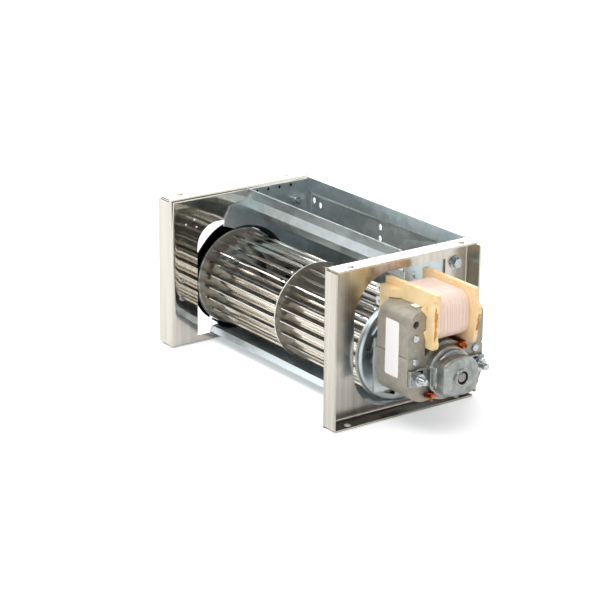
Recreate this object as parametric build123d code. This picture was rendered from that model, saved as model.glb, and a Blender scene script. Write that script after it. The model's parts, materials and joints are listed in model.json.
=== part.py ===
from build123d import *
import math
import os

# Crossflow fan: two flanged stainless end plates carry a galvanised air duct, a two-section
# crossflow impeller between them and a shaded-pole motor outside the right-hand plate.
# Frame, in mm: +X along the impeller axis towards the motor, +Y from the air inlet to the
# rear wall, +Z up. The origin is the centre of the base hole pattern, on the base face.

# End plates
body_width = 160.0
plate_depth = 106.0
plate_height = 97.0
plate_sheet = 1.2
left_flange_depth = 13.6
right_flange_depth = 11.2
plate_bend = 2.6
front_relief = 1.4
rear_relief = 2.6
mount_hole_radius = 2.15
mount_hole_inset = 7.5
mount_hole_spacing = 81.0
pilot_hole_radius = 0.6

# Cut-outs in the webs: gaps to the impeller at the front and rear, heights above the base
cutout_rear_gap = 4.8
left_cutout_front_gap = 4.3
left_cutout_bottom = 5.4
left_cutout_top = 78.3
left_cutout_corner = 15.0
right_cutout_front_gap = 1.8
right_cutout_bottom = 4.0
right_cutout_top = 86.3
right_cutout_corner = 25.8

# Impeller
axis_y = 0.5
axis_z = 38.0
impeller_offset = -0.5
impeller_overhang = 4.4
impeller_radius = 30.0
blade_count = 24
blade_sheet = 0.6
blade_chord = 7.2
blade_sweep = 10.0
blade_camber_radius = 7.0
blade_corner = 3.2
blade_end_gap = 2.4
blade_tab_drop = 2.2
blade_tab_width = 3.2
disc_sheet = 0.8
ring_rim = 0.6
left_cap_depth = 6.0
right_cap_depth = 3.0
cap_sheet = 1.0
cap_shoulder = 2.6
cap_recess_radius = 15.6
cap_recess_depth = 4.0
window_count = 4
window_drop = 5.6
window_length = 9.0
window_height = 4.6
window_start = -110.0
tab_turn = 19.0
tab_lift = 1.3

# Shaft, hubs and bearings
shaft_radius = 3.0
shaft_fit = 0.03
hub_radius = 7.0
hub_length = 13.0
hub_flange_radius = 10.5
hub_flange_sheet = 1.6
grub_radius = 1.5

# Duct
duct_sheet = 0.8
side_sheet = 1.0
side_top_inset = 1.5
rear_wall_inset = 3.3
channel_front = 4.2
channel_waist = 8.0
channel_fold = 5.9
channel_lip = 9.9
channel_bend_z = 88.6
channel_fold_z = 83.6
channel_lip_z = 76.9
channel_hem = 4.0
channel_bend = 0.9
lip_front = -25.2
lip_bottom = 6.6
lip_edge = -22.4
lip_top = 9.6
scroll_low_y = 2.0
scroll_low_z = 4.9
throat_gap = 4.0
throat_start = -125.0
throat_end = 101.0
recess_left_margin = 1.8
recess_right_margin = 18.8
recess_top = 88.4
recess_bottom = 60.0
recess_depth = 1.6

# Motor, positions relative to the impeller axis
stack_standoff = 16.0
stack_length = 28.0
stack_half_width = 27.5
stack_below = 16.0
stack_above = 39.3
stack_split = 11.3
stack_top_corner = 11.0
stack_low_corner = 12.0
leg_width = 12.5
core_height = 13.8
bore_radius = 13.0
air_gap = 0.4
pole_arch_radius = 17.6
split_groove = 0.7
rivet_y = 21.8
rivet_low = 8.8
rivet_high = 23.0
open_hole_z = 31.2
rivet_radius = 1.5
rivet_head_radius = 2.3
rivet_head_height = 1.1
open_hole_radius = 2.1
pin_play = 0.05
bobbin_wall = 1.4
bobbin_flange = 2.7
bobbin_overhang = 9.2
bobbin_play = 0.1
flange_low = 16.3
flange_high = 49.4
coil_overhang = 6.6
coil_low = 19.6
coil_high = 46.6
coil_corner = 8.0
ring_bar = 2.2
ring_clearance = 0.3
ring_inner_angle = 62.0
ring_inner_radius = 15.0
upper_ring_y = 12.4
upper_ring_z = 14.2
lower_ring_y = -14.0
lower_ring_z = -12.4
tie_bolt_y = 22.4
tie_bolt_radius = 2.0
nut_across = 7.0
nut_height = 3.2
nut_flange_radius = 4.2
nut_flange_sheet = 0.8
bolt_head_height = 2.8
bolt_tail = 5.0
strap_half_height = 5.5
strap_sheet = 2.5
ear_half = 4.7
dome_radius = 17.0
dome_depth = 4.5
step_radius = 16.0
step_depth = 7.6
hat_depth = 15.0
rear_hat_depth = 7.6
hat_radius = 15.2
hat_half_width = 14.2
hat_above = 14.6
hat_below = 11.3
hat_bevel = 0.9
boss_radius = 5.45
boss_height = 1.3
boss_bore = 3.8
shaft_recess = 0.9
bracket_wall = 2.2
bearing_radius = 6.0
bearing_width = 5.0
retainer_sheet = 0.7
rotor_ring = 1.4
rotor_ring_wall = 5.0

# Motor bracket
bracket_sheet = 1.5
bracket_below = 17.0
bracket_above = 16.0
bracket_hole_radius = 14.2
bracket_arm_gap = 1.7
bracket_foot_share = 0.7
bracket_bend = 1.8
bracket_screw_rise = 9.0

# Left bearing strap
strap_width = 24.0
bearing_strap_sheet = 1.5
bearing_strap_standoff = 10.4
bearing_strap_half_span = 35.4
bearing_strap_foot_share = 0.8
bearing_strap_rise = 6.0
strap_screw_margin = 3.2
bearing_strap_bend = 1.8
mount_rubber_radius = 12.6
mount_rubber_neck = 9.6
mount_rubber_length = 6.0
bush_length = 5.2
stub_end = 0.8

# Fasteners
flange_bolt_radius = 1.5
flange_bolt_across = 5.5
flange_bolt_flange = 4.15
flange_bolt_head = 3.2
clinch_nut_radius = 3.2
clinch_nut_length = 3.4
screw_radius = 1.5
screw_head_radius = 2.8
screw_head_height = 2.0
screw_slot_depth = 0.9

# Derived places
half_width = body_width / 2
half_depth = plate_depth / 2
web_inner = half_width - plate_sheet
sheet_inner = web_inner - side_sheet
flange_depths = {-1: left_flange_depth, 1: right_flange_depth}
section_length = (body_width + impeller_overhang) / 2
ring_radius = impeller_radius + ring_rim
blade_inner_radius = impeller_radius - blade_chord
blade_tab_outer = impeller_radius - blade_tab_drop
blade_tab_inner = blade_tab_outer - blade_tab_width
window_radius = impeller_radius - window_drop
throat_radius = impeller_radius + throat_gap
cap_depths = {-1: left_cap_depth, 1: right_cap_depth}
ring_outer_legs = {1: (upper_ring_y, upper_ring_z), -1: (lower_ring_y, lower_ring_z)}
cap_radius = ring_radius + cap_sheet
section_stations = [impeller_offset + index * section_length for index in (-1, 0, 1)]
stack_back = half_width + stack_standoff
stack_front = stack_back + stack_length
core_low = stack_above - core_height
leg_inner = stack_half_width - leg_width
cutout_rear = axis_y + impeller_radius + cutout_rear_gap
web_rear_strip = half_depth - cutout_rear
rear_wall = half_depth - rear_wall_inset
scroll_sheet_radius = rear_wall - scroll_low_y
bracket_foot = web_rear_strip * bracket_foot_share
bearing_strap_foot = (half_depth - axis_y - bearing_strap_half_span) * bearing_strap_foot_share
spin_axis = Axis((0, axis_y, axis_z), (1, 0, 0))
half_plane = Plane(origin=(0, axis_y, axis_z), x_dir=(1, 0, 0), z_dir=(0, -1, 0))


def across(section, x_from, x_to):
    """Extrude a section drawn in (y, z) from one station along X to another."""
    return extrude(Plane.YZ.offset(x_from) * section, amount=x_to - x_from)


def block(x_span, y_span, z_span):
    """A box given by its spans along X, Y and Z."""
    spans = (x_span, y_span, z_span)
    centre = [sum(span) / 2 for span in spans]
    return Pos(*centre) * Box(*[abs(span[1] - span[0]) for span in spans])


def at_axis(y, z):
    """A point of the (y, z) section given relative to the impeller axis."""
    return (axis_y + y, axis_z + z)


def polar(radius, degrees):
    """A point of the (y, z) section at a radius and angle about the impeller axis."""
    angle = math.radians(degrees)
    return at_axis(radius * math.cos(angle), radius * math.sin(angle))


def disc(x_from, x_to, radius, y=axis_y, z=axis_z):
    """A cylinder along X between two stations."""
    return across(Pos(y, z) * Circle(radius), x_from, x_to)


def turned(points, corners=None):
    """Revolve an outline of (x, radius) points about the impeller axis."""
    face = make_face(Polyline(*points, close=True))
    for corner, radius in (corners or {}).items():
        nearest = face.vertices().sort_by_distance((corner[0], corner[1], 0))[0]
        face = fillet(nearest, radius)
    return revolve(half_plane * face, spin_axis)


def bent_sheet(path, sheet):
    """The (y, z) section of a sheet whose left-hand face follows a path."""
    return make_face(offset(path, amount=sheet, side=Side.RIGHT).edges())


def hexagon(x_from, x_to, across_flats, y, z):
    """A hexagonal prism along X."""
    corner_radius = across_flats / math.sqrt(3)
    return across(Pos(y, z) * RegularPolygon(corner_radius, 6), x_from, x_to)


def save(name, *solids):
    """Write one sub-part, a single solid or a group of separate solids."""
    shape = solids[0] if len(solids) == 1 else Compound(children=list(solids))
    export_step(shape, f"parts/{name}.step")


# End plates
def plate_tray(side):
    """A web with four outward flanges, made for the right-hand side."""
    rim = half_width + flange_depths[side]
    outer = block((web_inner, rim), (-half_depth, half_depth), (0, plate_height))
    inner = block(
        (half_width, rim + 1),
        (-half_depth + plate_sheet, half_depth - plate_sheet),
        (plate_sheet, plate_height - plate_sheet),
    )
    web_edges = outer.edges().filter_by(lambda edge: abs(edge.center().X - web_inner) < 0.01)
    floor_edges = inner.edges().filter_by(lambda edge: abs(edge.center().X - half_width) < 0.01)
    tray = fillet(web_edges, plate_bend) - fillet(floor_edges, plate_bend - plate_sheet)
    relief_depth = (half_width + plate_bend - plate_sheet, rim + 1)
    for end, relief in ((-1, front_relief), (1, rear_relief)):
        for level in (0, plate_height):
            tray -= block(
                relief_depth,
                (end * (half_depth - relief), end * (half_depth + 1)),
                (level - relief, level + relief),
            )
    for end in (-1, 1):
        hole = Cylinder(mount_hole_radius, plate_height * 2)
        tray -= Pos(half_width + mount_hole_inset, end * mount_hole_spacing / 2, plate_height / 2) * hole
    return tray


def cutout_right():
    """Opening of the right-hand web, with two large front corners."""
    front = axis_y - impeller_radius - right_cutout_front_gap
    width = cutout_rear - front
    height = right_cutout_top - right_cutout_bottom
    centre = ((front + cutout_rear) / 2, (right_cutout_top + right_cutout_bottom) / 2)
    opening = Pos(*centre) * Rectangle(width, height)
    upper = opening.vertices().sort_by_distance((front, right_cutout_top, 0))[0]
    opening = fillet(upper, right_cutout_corner)
    lower = opening.vertices().sort_by_distance((front, right_cutout_bottom, 0))[0]
    return fillet(lower, right_cutout_corner)


def cutout_left():
    """Opening of the left-hand web, with one rounded upper front corner."""
    front = axis_y - impeller_radius - left_cutout_front_gap
    width = cutout_rear - front
    height = left_cutout_top - left_cutout_bottom
    centre = ((front + cutout_rear) / 2, (left_cutout_top + left_cutout_bottom) / 2)
    opening = Pos(*centre) * Rectangle(width, height)
    upper = opening.vertices().sort_by_distance((front, left_cutout_top, 0))[0]
    return fillet(upper, left_cutout_corner)


# Places of the bolts that hold the side sheets to the webs, as (y, z)
bolt_upper_z = plate_height - 14.2
bolt_lower_z = 14.0
bolt_places = {
    -1: [(cutout_rear + web_rear_strip * 0.3, bolt_upper_z), (cutout_rear + web_rear_strip / 2, bolt_lower_z)],
    1: [(cutout_rear + web_rear_strip * 0.42, bolt_upper_z), (cutout_rear + web_rear_strip / 2, bolt_lower_z)],
}

# Open holes along the upper edge of the left side sheet
side_hole_count = 4
side_hole_radius = 1.0
side_hole_first = 10.7
side_hole_last = half_depth - 15.9
side_hole_drop = 3.6
pilot_places = [(-36.0, 82.2), (-42.2, 80.0), (-34.4, 77.2)]


def web_holes(side):
    """Bolt holes of one web and its side sheet, as one tool."""
    reach = (side * (sheet_inner - 1), side * (half_width + 1))
    screws = strap_screw_places() if side < 0 else bracket_screw_places()
    tool = [disc(*reach, flange_bolt_radius + pin_play, y, z) for y, z in bolt_places[side]]
    tool += [disc(*reach, screw_radius + pin_play, y, z) for y, z in screws]
    return Compound(children=tool)


def bracket_screw_places():
    """Screws of the motor bracket's foot, as (y, z) on the right-hand web."""
    foot_middle = cutout_rear + (bracket_foot - 1.0) / 2
    return [(foot_middle, axis_z + rise) for rise in (-bracket_screw_rise, bracket_screw_rise)]


def strap_screw_places():
    """Screws of the left bearing strap, as (y, z) on the left-hand web."""
    reach = bearing_strap_half_span + bearing_strap_foot - strap_screw_margin
    rises = (-bearing_strap_rise, bearing_strap_rise)
    return [(axis_y + side * reach, axis_z + rise) for side in (-1, 1) for rise in rises]


def end_plate_right():
    plate = plate_tray(1) - across(cutout_right(), web_inner - 1, half_width + 1)
    return plate - web_holes(1)


def end_plate_left():
    plate = mirror(plate_tray(-1), Plane.YZ) - across(cutout_left(), -half_width - 1, -web_inner + 1)
    plate -= web_holes(-1)
    for y, z in pilot_places:
        plate -= disc(-half_width - 1, -web_inner + 1, pilot_hole_radius, y, z)
    return plate


# Duct
throat_top = (-14.5, 74.5)
nose = [(-13.9, 78.3), (-9.6, 86.6), (6.0, 90.3)]
right_front_y = 6.0
toe = [(-24.0, 3.2), (-25.2, 6.6), (-22.8, 9.7)]
sheet_slot = (13.0, 80.0)


def side_sheet_section(side):
    """Outline of a side sheet: a C round the rear of the impeller."""
    top = plate_height - side_top_inset
    rear = rear_wall + duct_sheet
    if side < 0:
        start = polar(throat_radius, throat_end)
        rest = [throat_top, *nose]
    else:
        start = (right_front_y, axis_z + math.sqrt(throat_radius**2 - (right_front_y - axis_y) ** 2))
        rest = []
    end = polar(throat_radius, throat_start)
    points = [start, *rest, (right_front_y, top), (rear, top), (rear, toe[0][1]), *toe, end]
    outline = Polyline(*points) + ThreePointArc(end, polar(throat_radius, 0), start)
    return make_face(outline.edges())


def side_sheet_piece(side):
    sheet = across(side_sheet_section(side), side * sheet_inner, side * web_inner)
    sheet -= web_holes(side)
    if side < 0:
        pitch = (side_hole_last - side_hole_first) / (side_hole_count - 1)
        for index in range(side_hole_count):
            y = side_hole_first + index * pitch
            z = plate_height - side_hole_drop
            sheet -= disc(-sheet_inner + 1, -web_inner - 1, side_hole_radius, y, z)
    else:
        sheet -= across(Pos(*sheet_slot) * Rectangle(1.6, 5.0), sheet_inner - 1, web_inner + 1)
    return sheet


def outlet_channel():
    """Folded stiffener between inlet and outlet, with a hemmed lower lip."""
    path = FilletPolyline(
        (channel_front, plate_height - 0.4),
        (channel_waist, channel_bend_z),
        (channel_fold, channel_fold_z),
        (channel_lip, channel_lip_z),
        (channel_lip + channel_hem * 0.7, channel_lip_z + channel_hem * 0.7),
        radius=channel_bend,
    )
    return across(bent_sheet(path, duct_sheet), -sheet_inner, sheet_inner)


def scroll_wall():
    """Front lip, floor under the impeller and rear curve, bent from one sheet."""
    low = (scroll_low_y, scroll_low_z)
    rise = scroll_sheet_radius
    rear_end = (low[0] + rise, low[1] + rise)
    sagitta_mid = (lip_edge * 0.5 + low[0] * 0.5, low[1] + (lip_top - low[1]) * 0.25)
    lip = Line((lip_front, lip_bottom), (lip_edge, lip_top))
    floor = ThreePointArc((lip_edge, lip_top), sagitta_mid, low)
    curve = ThreePointArc(
        low,
        (low[0] + rise * math.sin(math.pi / 4), low[1] + rise * (1 - math.cos(math.pi / 4))),
        rear_end,
    )
    path = lip + floor + curve
    return across(bent_sheet(path, duct_sheet), -sheet_inner, sheet_inner)


def rear_panel():
    """Flat rear wall with a pressed recess, slots and a narrow top flange."""
    wall_low = scroll_low_z + scroll_sheet_radius
    x_span = (-sheet_inner, sheet_inner)
    panel = block(x_span, (rear_wall, rear_wall + duct_sheet), (wall_low, plate_height))
    panel += block(x_span, (rear_wall, half_depth), (plate_height - duct_sheet, plate_height))
    recess_z = (recess_bottom, recess_top)
    recess_x = (recess_left_margin - sheet_inner, sheet_inner - recess_right_margin)
    deep = rear_wall + recess_depth
    shell = block(recess_x, (rear_wall, deep + duct_sheet), recess_z)
    hollow = block(
        (recess_x[0] + duct_sheet, recess_x[1] - duct_sheet),
        (rear_wall - 1, deep),
        (recess_bottom + duct_sheet, recess_top - duct_sheet),
    )
    panel = panel + shell - hollow
    for x, z in rear_slots:
        slot = Plane.XZ.offset(-rear_wall + 1) * (Pos(x, z) * SlotOverall(slot_length, slot_width, rotation=90))
        panel -= extrude(slot, amount=-6)
    return panel


slot_length = 3.8
slot_width = 2.6
rear_slots = [(6.2 - sheet_inner, 82.2), (12.8 - sheet_inner, 80.4), (-2.5, 81.8), (-2.5, 74.4)]


# Impeller
def blade_section():
    """A curved strip from the impeller's outer edge to its inner edge."""
    outer = Vector(impeller_radius + 0.5, 0)
    sweep = math.radians(blade_sweep)
    inner = Vector(blade_inner_radius * math.cos(sweep), -blade_inner_radius * math.sin(sweep))
    chord = inner - outer
    middle = (outer + inner) * 0.5
    normal = Vector(-chord.Y, chord.X).normalized()
    centre_distance = math.sqrt(blade_camber_radius**2 - (chord.length / 2) ** 2)
    centre = middle + normal * centre_distance

    def arc(radius):
        ends = [centre + (point - centre).normalized() * radius for point in (outer, inner)]
        crown = centre - normal * radius
        return ends[0], crown, ends[1]

    near = arc(blade_camber_radius - blade_sheet / 2)
    far = arc(blade_camber_radius + blade_sheet / 2)
    sides = ThreePointArc(*near) + ThreePointArc(*reversed(far))
    ends = Line(near[2], far[2]) + Line(far[0], near[0])
    return Pos(axis_y, axis_z) * make_face((sides + ends).edges())


def blade_envelope(x_from, x_to):
    """Side view of a blade, turned: rounded outer corners and a tab at each end."""
    low = blade_inner_radius - 2
    body_from = x_from + blade_end_gap
    body_to = x_to - blade_end_gap
    points = [
        (body_from, low),
        (body_from, blade_tab_inner),
        (x_from, blade_tab_inner),
        (x_from, blade_tab_outer),
        (body_from, blade_tab_outer),
        (body_from, impeller_radius),
        (body_to, impeller_radius),
        (body_to, blade_tab_outer),
        (x_to, blade_tab_outer),
        (x_to, blade_tab_inner),
        (body_to, blade_tab_inner),
        (body_to, low),
    ]
    rounding = min(blade_corner, impeller_radius - blade_tab_outer - 0.1)
    corners = {(body_from, impeller_radius): rounding, (body_to, impeller_radius): rounding}
    return turned(points, corners)


def blade_row(x_from, x_to):
    """All blades of one impeller section."""
    blade = across(blade_section(), x_from, x_to) & blade_envelope(x_from, x_to)
    first = blade.solids()[0]
    return [first.rotate(spin_axis, index * 360 / blade_count) for index in range(blade_count)]


def blade_ring(x_from, x_to):
    """A flat ring that the blade tabs are peened into."""
    return disc(x_from, x_to, ring_radius) - disc(x_from - 1, x_to + 1, blade_inner_radius - 1.5)


def end_cap(side):
    """A dished end cap: skirt round the blade ring, flat face, windows and hub recess."""
    seat = section_stations[0 if side < 0 else 2] + side * disc_sheet / 2 - side * disc_sheet
    face = seat + side * (disc_sheet + cap_depths[side])
    under = face - side * cap_sheet
    recess_face = face - side * cap_recess_depth
    recess_under = recess_face - side * cap_sheet
    bore = shaft_radius + 0.6
    slope = cap_recess_radius - 2.2
    outline = [
        (seat, cap_radius),
        (face, cap_radius),
        (face, cap_recess_radius),
        (recess_face, slope),
        (recess_face, bore),
        (recess_under, bore),
        (recess_under, slope),
        (under, cap_recess_radius + 0.2),
        (under, ring_radius),
        (seat, ring_radius),
    ]
    corners = {(face, cap_radius): cap_shoulder, (under, ring_radius): cap_shoulder - cap_sheet}
    cap = turned(outline, corners)
    for index in range(window_count):
        angle = window_start + index * 360 / window_count
        place = Pos(*polar(window_radius, angle)) * Rot(0, 0, angle + 90)
        window = place * Rectangle(window_length, window_height)
        cap -= across(window, min(under, face) - 1, max(under, face) + 1)
        tab_place = Pos(*polar(window_radius, angle - tab_turn)) * Rot(0, 0, angle - tab_turn + 90)
        tab = tab_place * Rectangle(window_length - 2.5, window_height - 0.4)
        cap += across(tab, under, face + side * tab_lift)
    return cap


def mid_disc():
    x_from = section_stations[1] - disc_sheet / 2
    plate = disc(x_from, x_from + disc_sheet, ring_radius)
    return plate - disc(x_from - 1, x_from + disc_sheet + 1, shaft_radius + 3.5)


def end_hub(side):
    """Turned hub whose flange is riveted to the inside of an end cap's recess."""
    seat = section_stations[0 if side < 0 else 2] - side * disc_sheet / 2
    under = seat + side * (disc_sheet + cap_depths[side] - cap_recess_depth - cap_sheet)
    bore = shaft_radius + shaft_fit
    flange_end = under - side * hub_flange_sheet
    points = [
        (under, bore),
        (under, hub_flange_radius),
        (flange_end, hub_flange_radius),
        (flange_end, hub_radius),
        (flange_end - side * hub_length, hub_radius),
        (flange_end - side * hub_length, bore),
    ]
    hub = turned(points)
    screw_x = flange_end - side * hub_length / 2
    grub = Pos(screw_x, axis_y, axis_z + hub_radius / 2 + bore / 2) * Cylinder(grub_radius, hub_radius)
    return hub - grub


def grub_screw(side):
    """Set screw of one hub, its end on the shaft."""
    seat = section_stations[0 if side < 0 else 2] - side * disc_sheet / 2
    under = seat + side * (disc_sheet + cap_depths[side] - cap_recess_depth - cap_sheet)
    screw_x = under - side * (hub_flange_sheet + hub_length / 2)
    length = hub_radius - shaft_radius - 0.6
    screw = Pos(screw_x, axis_y, axis_z + shaft_radius + length / 2) * Cylinder(grub_radius - 0.02, length)
    socket = Pos(screw_x, axis_y, axis_z + shaft_radius + length) * extrude(RegularPolygon(0.8, 6), amount=-1.2)
    return screw - socket


def hub_inner_end(side):
    """Station of a hub's inner end."""
    seat = section_stations[0 if side < 0 else 2] - side * disc_sheet / 2
    under = seat + side * (disc_sheet + cap_depths[side] - cap_recess_depth - cap_sheet)
    return under - side * (hub_flange_sheet + hub_length)


# Left bearing
strap_outer = -(half_width + bearing_strap_standoff + bearing_strap_sheet)


def bearing_strap():
    """Hat-shaped strap over the left end cap, with two feet on the web."""
    start = axis_y - bearing_strap_half_span
    end = axis_y + bearing_strap_half_span
    web = -half_width
    top = -(half_width + bearing_strap_standoff)
    path = FilletPolyline(
        (web, start - bearing_strap_foot),
        (web, start),
        (top, start),
        (top, end),
        (web, end),
        (web, end + bearing_strap_foot),
        radius=bearing_strap_bend,
    )
    outline = make_face(offset(path, amount=bearing_strap_sheet, side=Side.LEFT).edges())
    low = axis_z - strap_width / 2
    strap = extrude(Plane.XY.offset(low) * outline, amount=strap_width)
    strap -= disc(strap_outer - 1, top + 1, mount_rubber_neck)
    for y, z in strap_screw_places():
        strap -= disc(-half_width - 3, -half_width + 1, screw_radius + pin_play, y, z)
    return strap


def mount_rubber():
    """Grooved rubber ring held in the strap's hole."""
    inner_face = strap_outer + bearing_strap_sheet
    lip = (mount_rubber_length - bearing_strap_sheet) / 2
    far = strap_outer - lip
    near = inner_face + lip
    bore = bearing_radius
    points = [
        (far, bore),
        (far, mount_rubber_radius),
        (strap_outer, mount_rubber_radius),
        (strap_outer, mount_rubber_neck),
        (inner_face, mount_rubber_neck),
        (inner_face, mount_rubber_radius),
        (near, mount_rubber_radius),
        (near, bore),
    ]
    return turned(points, {(far, mount_rubber_radius): 0.9, (near, mount_rubber_radius): 0.9})


def left_bush():
    middle = strap_outer + bearing_strap_sheet / 2
    ring = disc(middle - bush_length / 2, middle + bush_length / 2, bearing_radius)
    return ring - disc(middle - bush_length, middle + bush_length, shaft_radius + shaft_fit)


def stub_shaft():
    far = strap_outer + bearing_strap_sheet / 2 - bush_length / 2 - stub_end
    shaft = disc(far, hub_inner_end(-1), shaft_radius)
    return chamfer(shaft.edges().sort_by(Axis.X)[0], 0.4)


# Motor
def stator_pins():
    """Rivet holes, tie bolt holes and open holes of the stack, as (y, z, radius)."""
    rivets = [(side * rivet_y, z, rivet_radius) for side in (-1, 1) for z in (rivet_low, rivet_high)]
    bolts = [(side * tie_bolt_y, 0, tie_bolt_radius) for side in (-1, 1)]
    return rivets, bolts


def shading_places(sign):
    """Inner and outer leg of a shading ring, relative to the axis."""
    angle = math.radians(ring_inner_angle)
    inner = (sign * ring_inner_radius * math.cos(angle), sign * ring_inner_radius * math.sin(angle))
    return inner, ring_outer_legs[sign]


def stack_holes(section):
    """Cut the pin holes and shading slots that fall inside a lamination section."""
    rivets, bolts = stator_pins()
    for y, z, radius in rivets + bolts:
        section -= Pos(*at_axis(y, z)) * Circle(radius + pin_play)
    for side in (-1, 1):
        section -= Pos(*at_axis(side * rivet_y, open_hole_z)) * Circle(open_hole_radius)
    for sign in (-1, 1):
        for y, z in shading_places(sign):
            section -= Pos(*at_axis(y, z)) * Circle(ring_bar / 2 + pin_play)
    return section


def stator_lower():
    """Lower laminations: two poles round the bore, thin bridges above and below."""
    height = stack_below + stack_split
    middle = (stack_split - stack_below) / 2
    base = Pos(*at_axis(0, middle)) * Rectangle(stack_half_width * 2, height)
    low_corners = base.vertices().sort_by(Axis.Y)[:2]
    base = fillet(low_corners, stack_low_corner)
    base = chamfer(base.vertices().sort_by(Axis.Y)[-2:], split_groove)
    base += Pos(axis_y, axis_z) * Circle(pole_arch_radius)
    base -= Pos(axis_y, axis_z) * Circle(bore_radius)
    return across(stack_holes(base), stack_back, stack_front)


def stator_upper():
    """Upper laminations: two legs and the bar that carries the coil."""
    height = stack_above - stack_split
    middle = (stack_above + stack_split) / 2
    yoke = Pos(*at_axis(0, middle)) * Rectangle(stack_half_width * 2, height)
    yoke = fillet(yoke.vertices().sort_by(Axis.Y)[-2:], stack_top_corner)
    gap_height = core_low - stack_split
    yoke -= Pos(*at_axis(0, stack_split + gap_height / 2)) * Rectangle(leg_inner * 2, gap_height)
    outer_feet = [
        yoke.vertices().sort_by_distance((*at_axis(side * stack_half_width, stack_split), 0))[0]
        for side in (-1, 1)
    ]
    yoke = chamfer(outer_feet, split_groove)
    return across(stack_holes(yoke), stack_back, stack_front)


def ring_section(x_half, low, high, corner):
    """A rounded rectangle in (x, z) round the coil core, centred on the stack."""
    middle = (stack_back + stack_front) / 2
    face = Pos(middle, axis_z + (low + high) / 2) * RectangleRounded(x_half * 2, high - low, corner)
    return face


def along_y(section, y_from, y_to):
    """Extrude a section drawn in (x, z) between two places across the motor."""
    plane = Plane(origin=(0, axis_y + y_from, 0), x_dir=(1, 0, 0), z_dir=(0, -1, 0))
    return extrude(plane * section, amount=-(y_to - y_from))


def bobbin():
    """Moulded coil former: tube, two flanges and a terminal block."""
    flange_outer = leg_inner - 0.3
    flange_inner = flange_outer - bobbin_flange
    x_core = stack_length / 2 + bobbin_play
    tube_low = core_low - bobbin_play
    tube_high = stack_above + bobbin_play
    tube = along_y(
        ring_section(x_core + bobbin_wall, tube_low - bobbin_wall, tube_high + bobbin_wall, 1.2),
        -flange_outer,
        flange_outer,
    )
    x_flange = stack_length / 2 + bobbin_overhang
    former = tube
    for side in (-1, 1):
        near, far = sorted((side * flange_inner, side * flange_outer))
        former += along_y(ring_section(x_flange, flange_low, flange_high, 1.5), near, far)
    core = ring_section(x_core, tube_low, tube_high, 0.3)
    former -= along_y(core, -flange_outer - 1, flange_outer + 1)
    block_x = (stack_back - 0.5, stack_back - bobbin_overhang)
    block_y = (axis_y - flange_outer - terminal_block, axis_y - flange_outer)
    former += block(block_x, block_y, (axis_z + terminal_block_low, axis_z + terminal_block_high))
    former += block(
        (stack_back - 0.5, stack_back + terminal_block_reach),
        block_y,
        (axis_z + stack_above + 0.3, axis_z + terminal_block_high),
    )
    for z in terminal_rows:
        former -= block(
            (block_x[1] - 1, block_x[1] + terminal_depth),
            terminal_span,
            (axis_z + z - terminal_width / 2 - 0.1, axis_z + z + terminal_width / 2 + 0.1),
        )
    return former


terminal_block = 4.4
terminal_block_low = 29.0
terminal_block_high = 45.0
terminal_block_reach = 6.5
terminal_depth = 4.0
terminal_tail = 5.5
terminal_width = 4.8
terminal_rows = (33.2, 41.0)
terminal_span = (axis_y - leg_inner - 2.1, axis_y - leg_inner - 1.2)


def coil():
    """Taped winding between the bobbin's flanges."""
    reach = leg_inner - 0.3 - bobbin_flange
    x_inner = stack_length / 2 + bobbin_play + bobbin_wall
    inner_low = core_low - bobbin_play - bobbin_wall
    inner_high = stack_above + bobbin_play + bobbin_wall
    outer = along_y(
        ring_section(stack_length / 2 + coil_overhang, coil_low, coil_high, coil_corner), -reach, reach
    )
    inner = along_y(ring_section(x_inner, inner_low, inner_high, 1.2), -reach - 1, reach + 1)
    return outer - inner


def coil_terminals():
    """Two flat tabs pressed into the bobbin's block."""
    tabs = []
    for z in terminal_rows:
        tab = block(
            (stack_back - bobbin_overhang - terminal_tail, stack_back - bobbin_overhang + terminal_depth),
            terminal_span,
            (axis_z + z - terminal_width / 2, axis_z + z + terminal_width / 2),
        )
        hole = Pos(stack_back - bobbin_overhang - terminal_tail / 2, terminal_span[0], axis_z + z)
        tabs.append(tab - hole * Rot(90, 0, 0) * Cylinder(0.8, 4))
    return tabs


def ring_bar_section(sign, width):
    """Round-ended bar that joins a shading ring's two legs on one face."""
    inner, outer = shading_places(sign)
    length = math.dist(inner, outer)
    angle = math.degrees(math.atan2(outer[1] - inner[1], outer[0] - inner[0]))
    middle = at_axis((inner[0] + outer[0]) / 2, (inner[1] + outer[1]) / 2)
    return Pos(*middle) * Rot(0, 0, angle) * SlotCenterToCenter(length, width)


def ring_pockets(x_from, x_to):
    """Clearance for both shading rings' end bars, as one tool."""
    width = ring_bar + 2 * ring_clearance
    return Compound(children=[across(ring_bar_section(sign, width), x_from, x_to) for sign in (-1, 1)])


def shading_ring(sign):
    """A copper loop: two legs through the stack and a bar on each face."""
    radius = ring_bar / 2
    loop = Part()
    for y, z in shading_places(sign):
        loop += disc(stack_back - ring_bar, stack_front + ring_bar, radius, *at_axis(y, z))
    bar = ring_bar_section(sign, ring_bar)
    loop += across(bar, stack_front, stack_front + ring_bar)
    loop += across(bar, stack_back - ring_bar, stack_back)
    return loop


def rotor_core():
    core = disc(stack_back, stack_front, bore_radius - air_gap)
    return core - disc(stack_back - 1, stack_front + 1, shaft_radius)


def rotor_rings():
    """Cast aluminium end rings of the squirrel cage."""
    rings = []
    for face, direction in ((stack_back, -1), (stack_front, 1)):
        far = face + direction * rotor_ring
        outer = bore_radius - air_gap - 0.8
        points = [(face, outer - rotor_ring_wall), (face, outer), (far, outer), (far, outer - rotor_ring_wall)]
        rings.append(turned(points, {(far, outer): 0.8}))
    return rings


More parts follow.
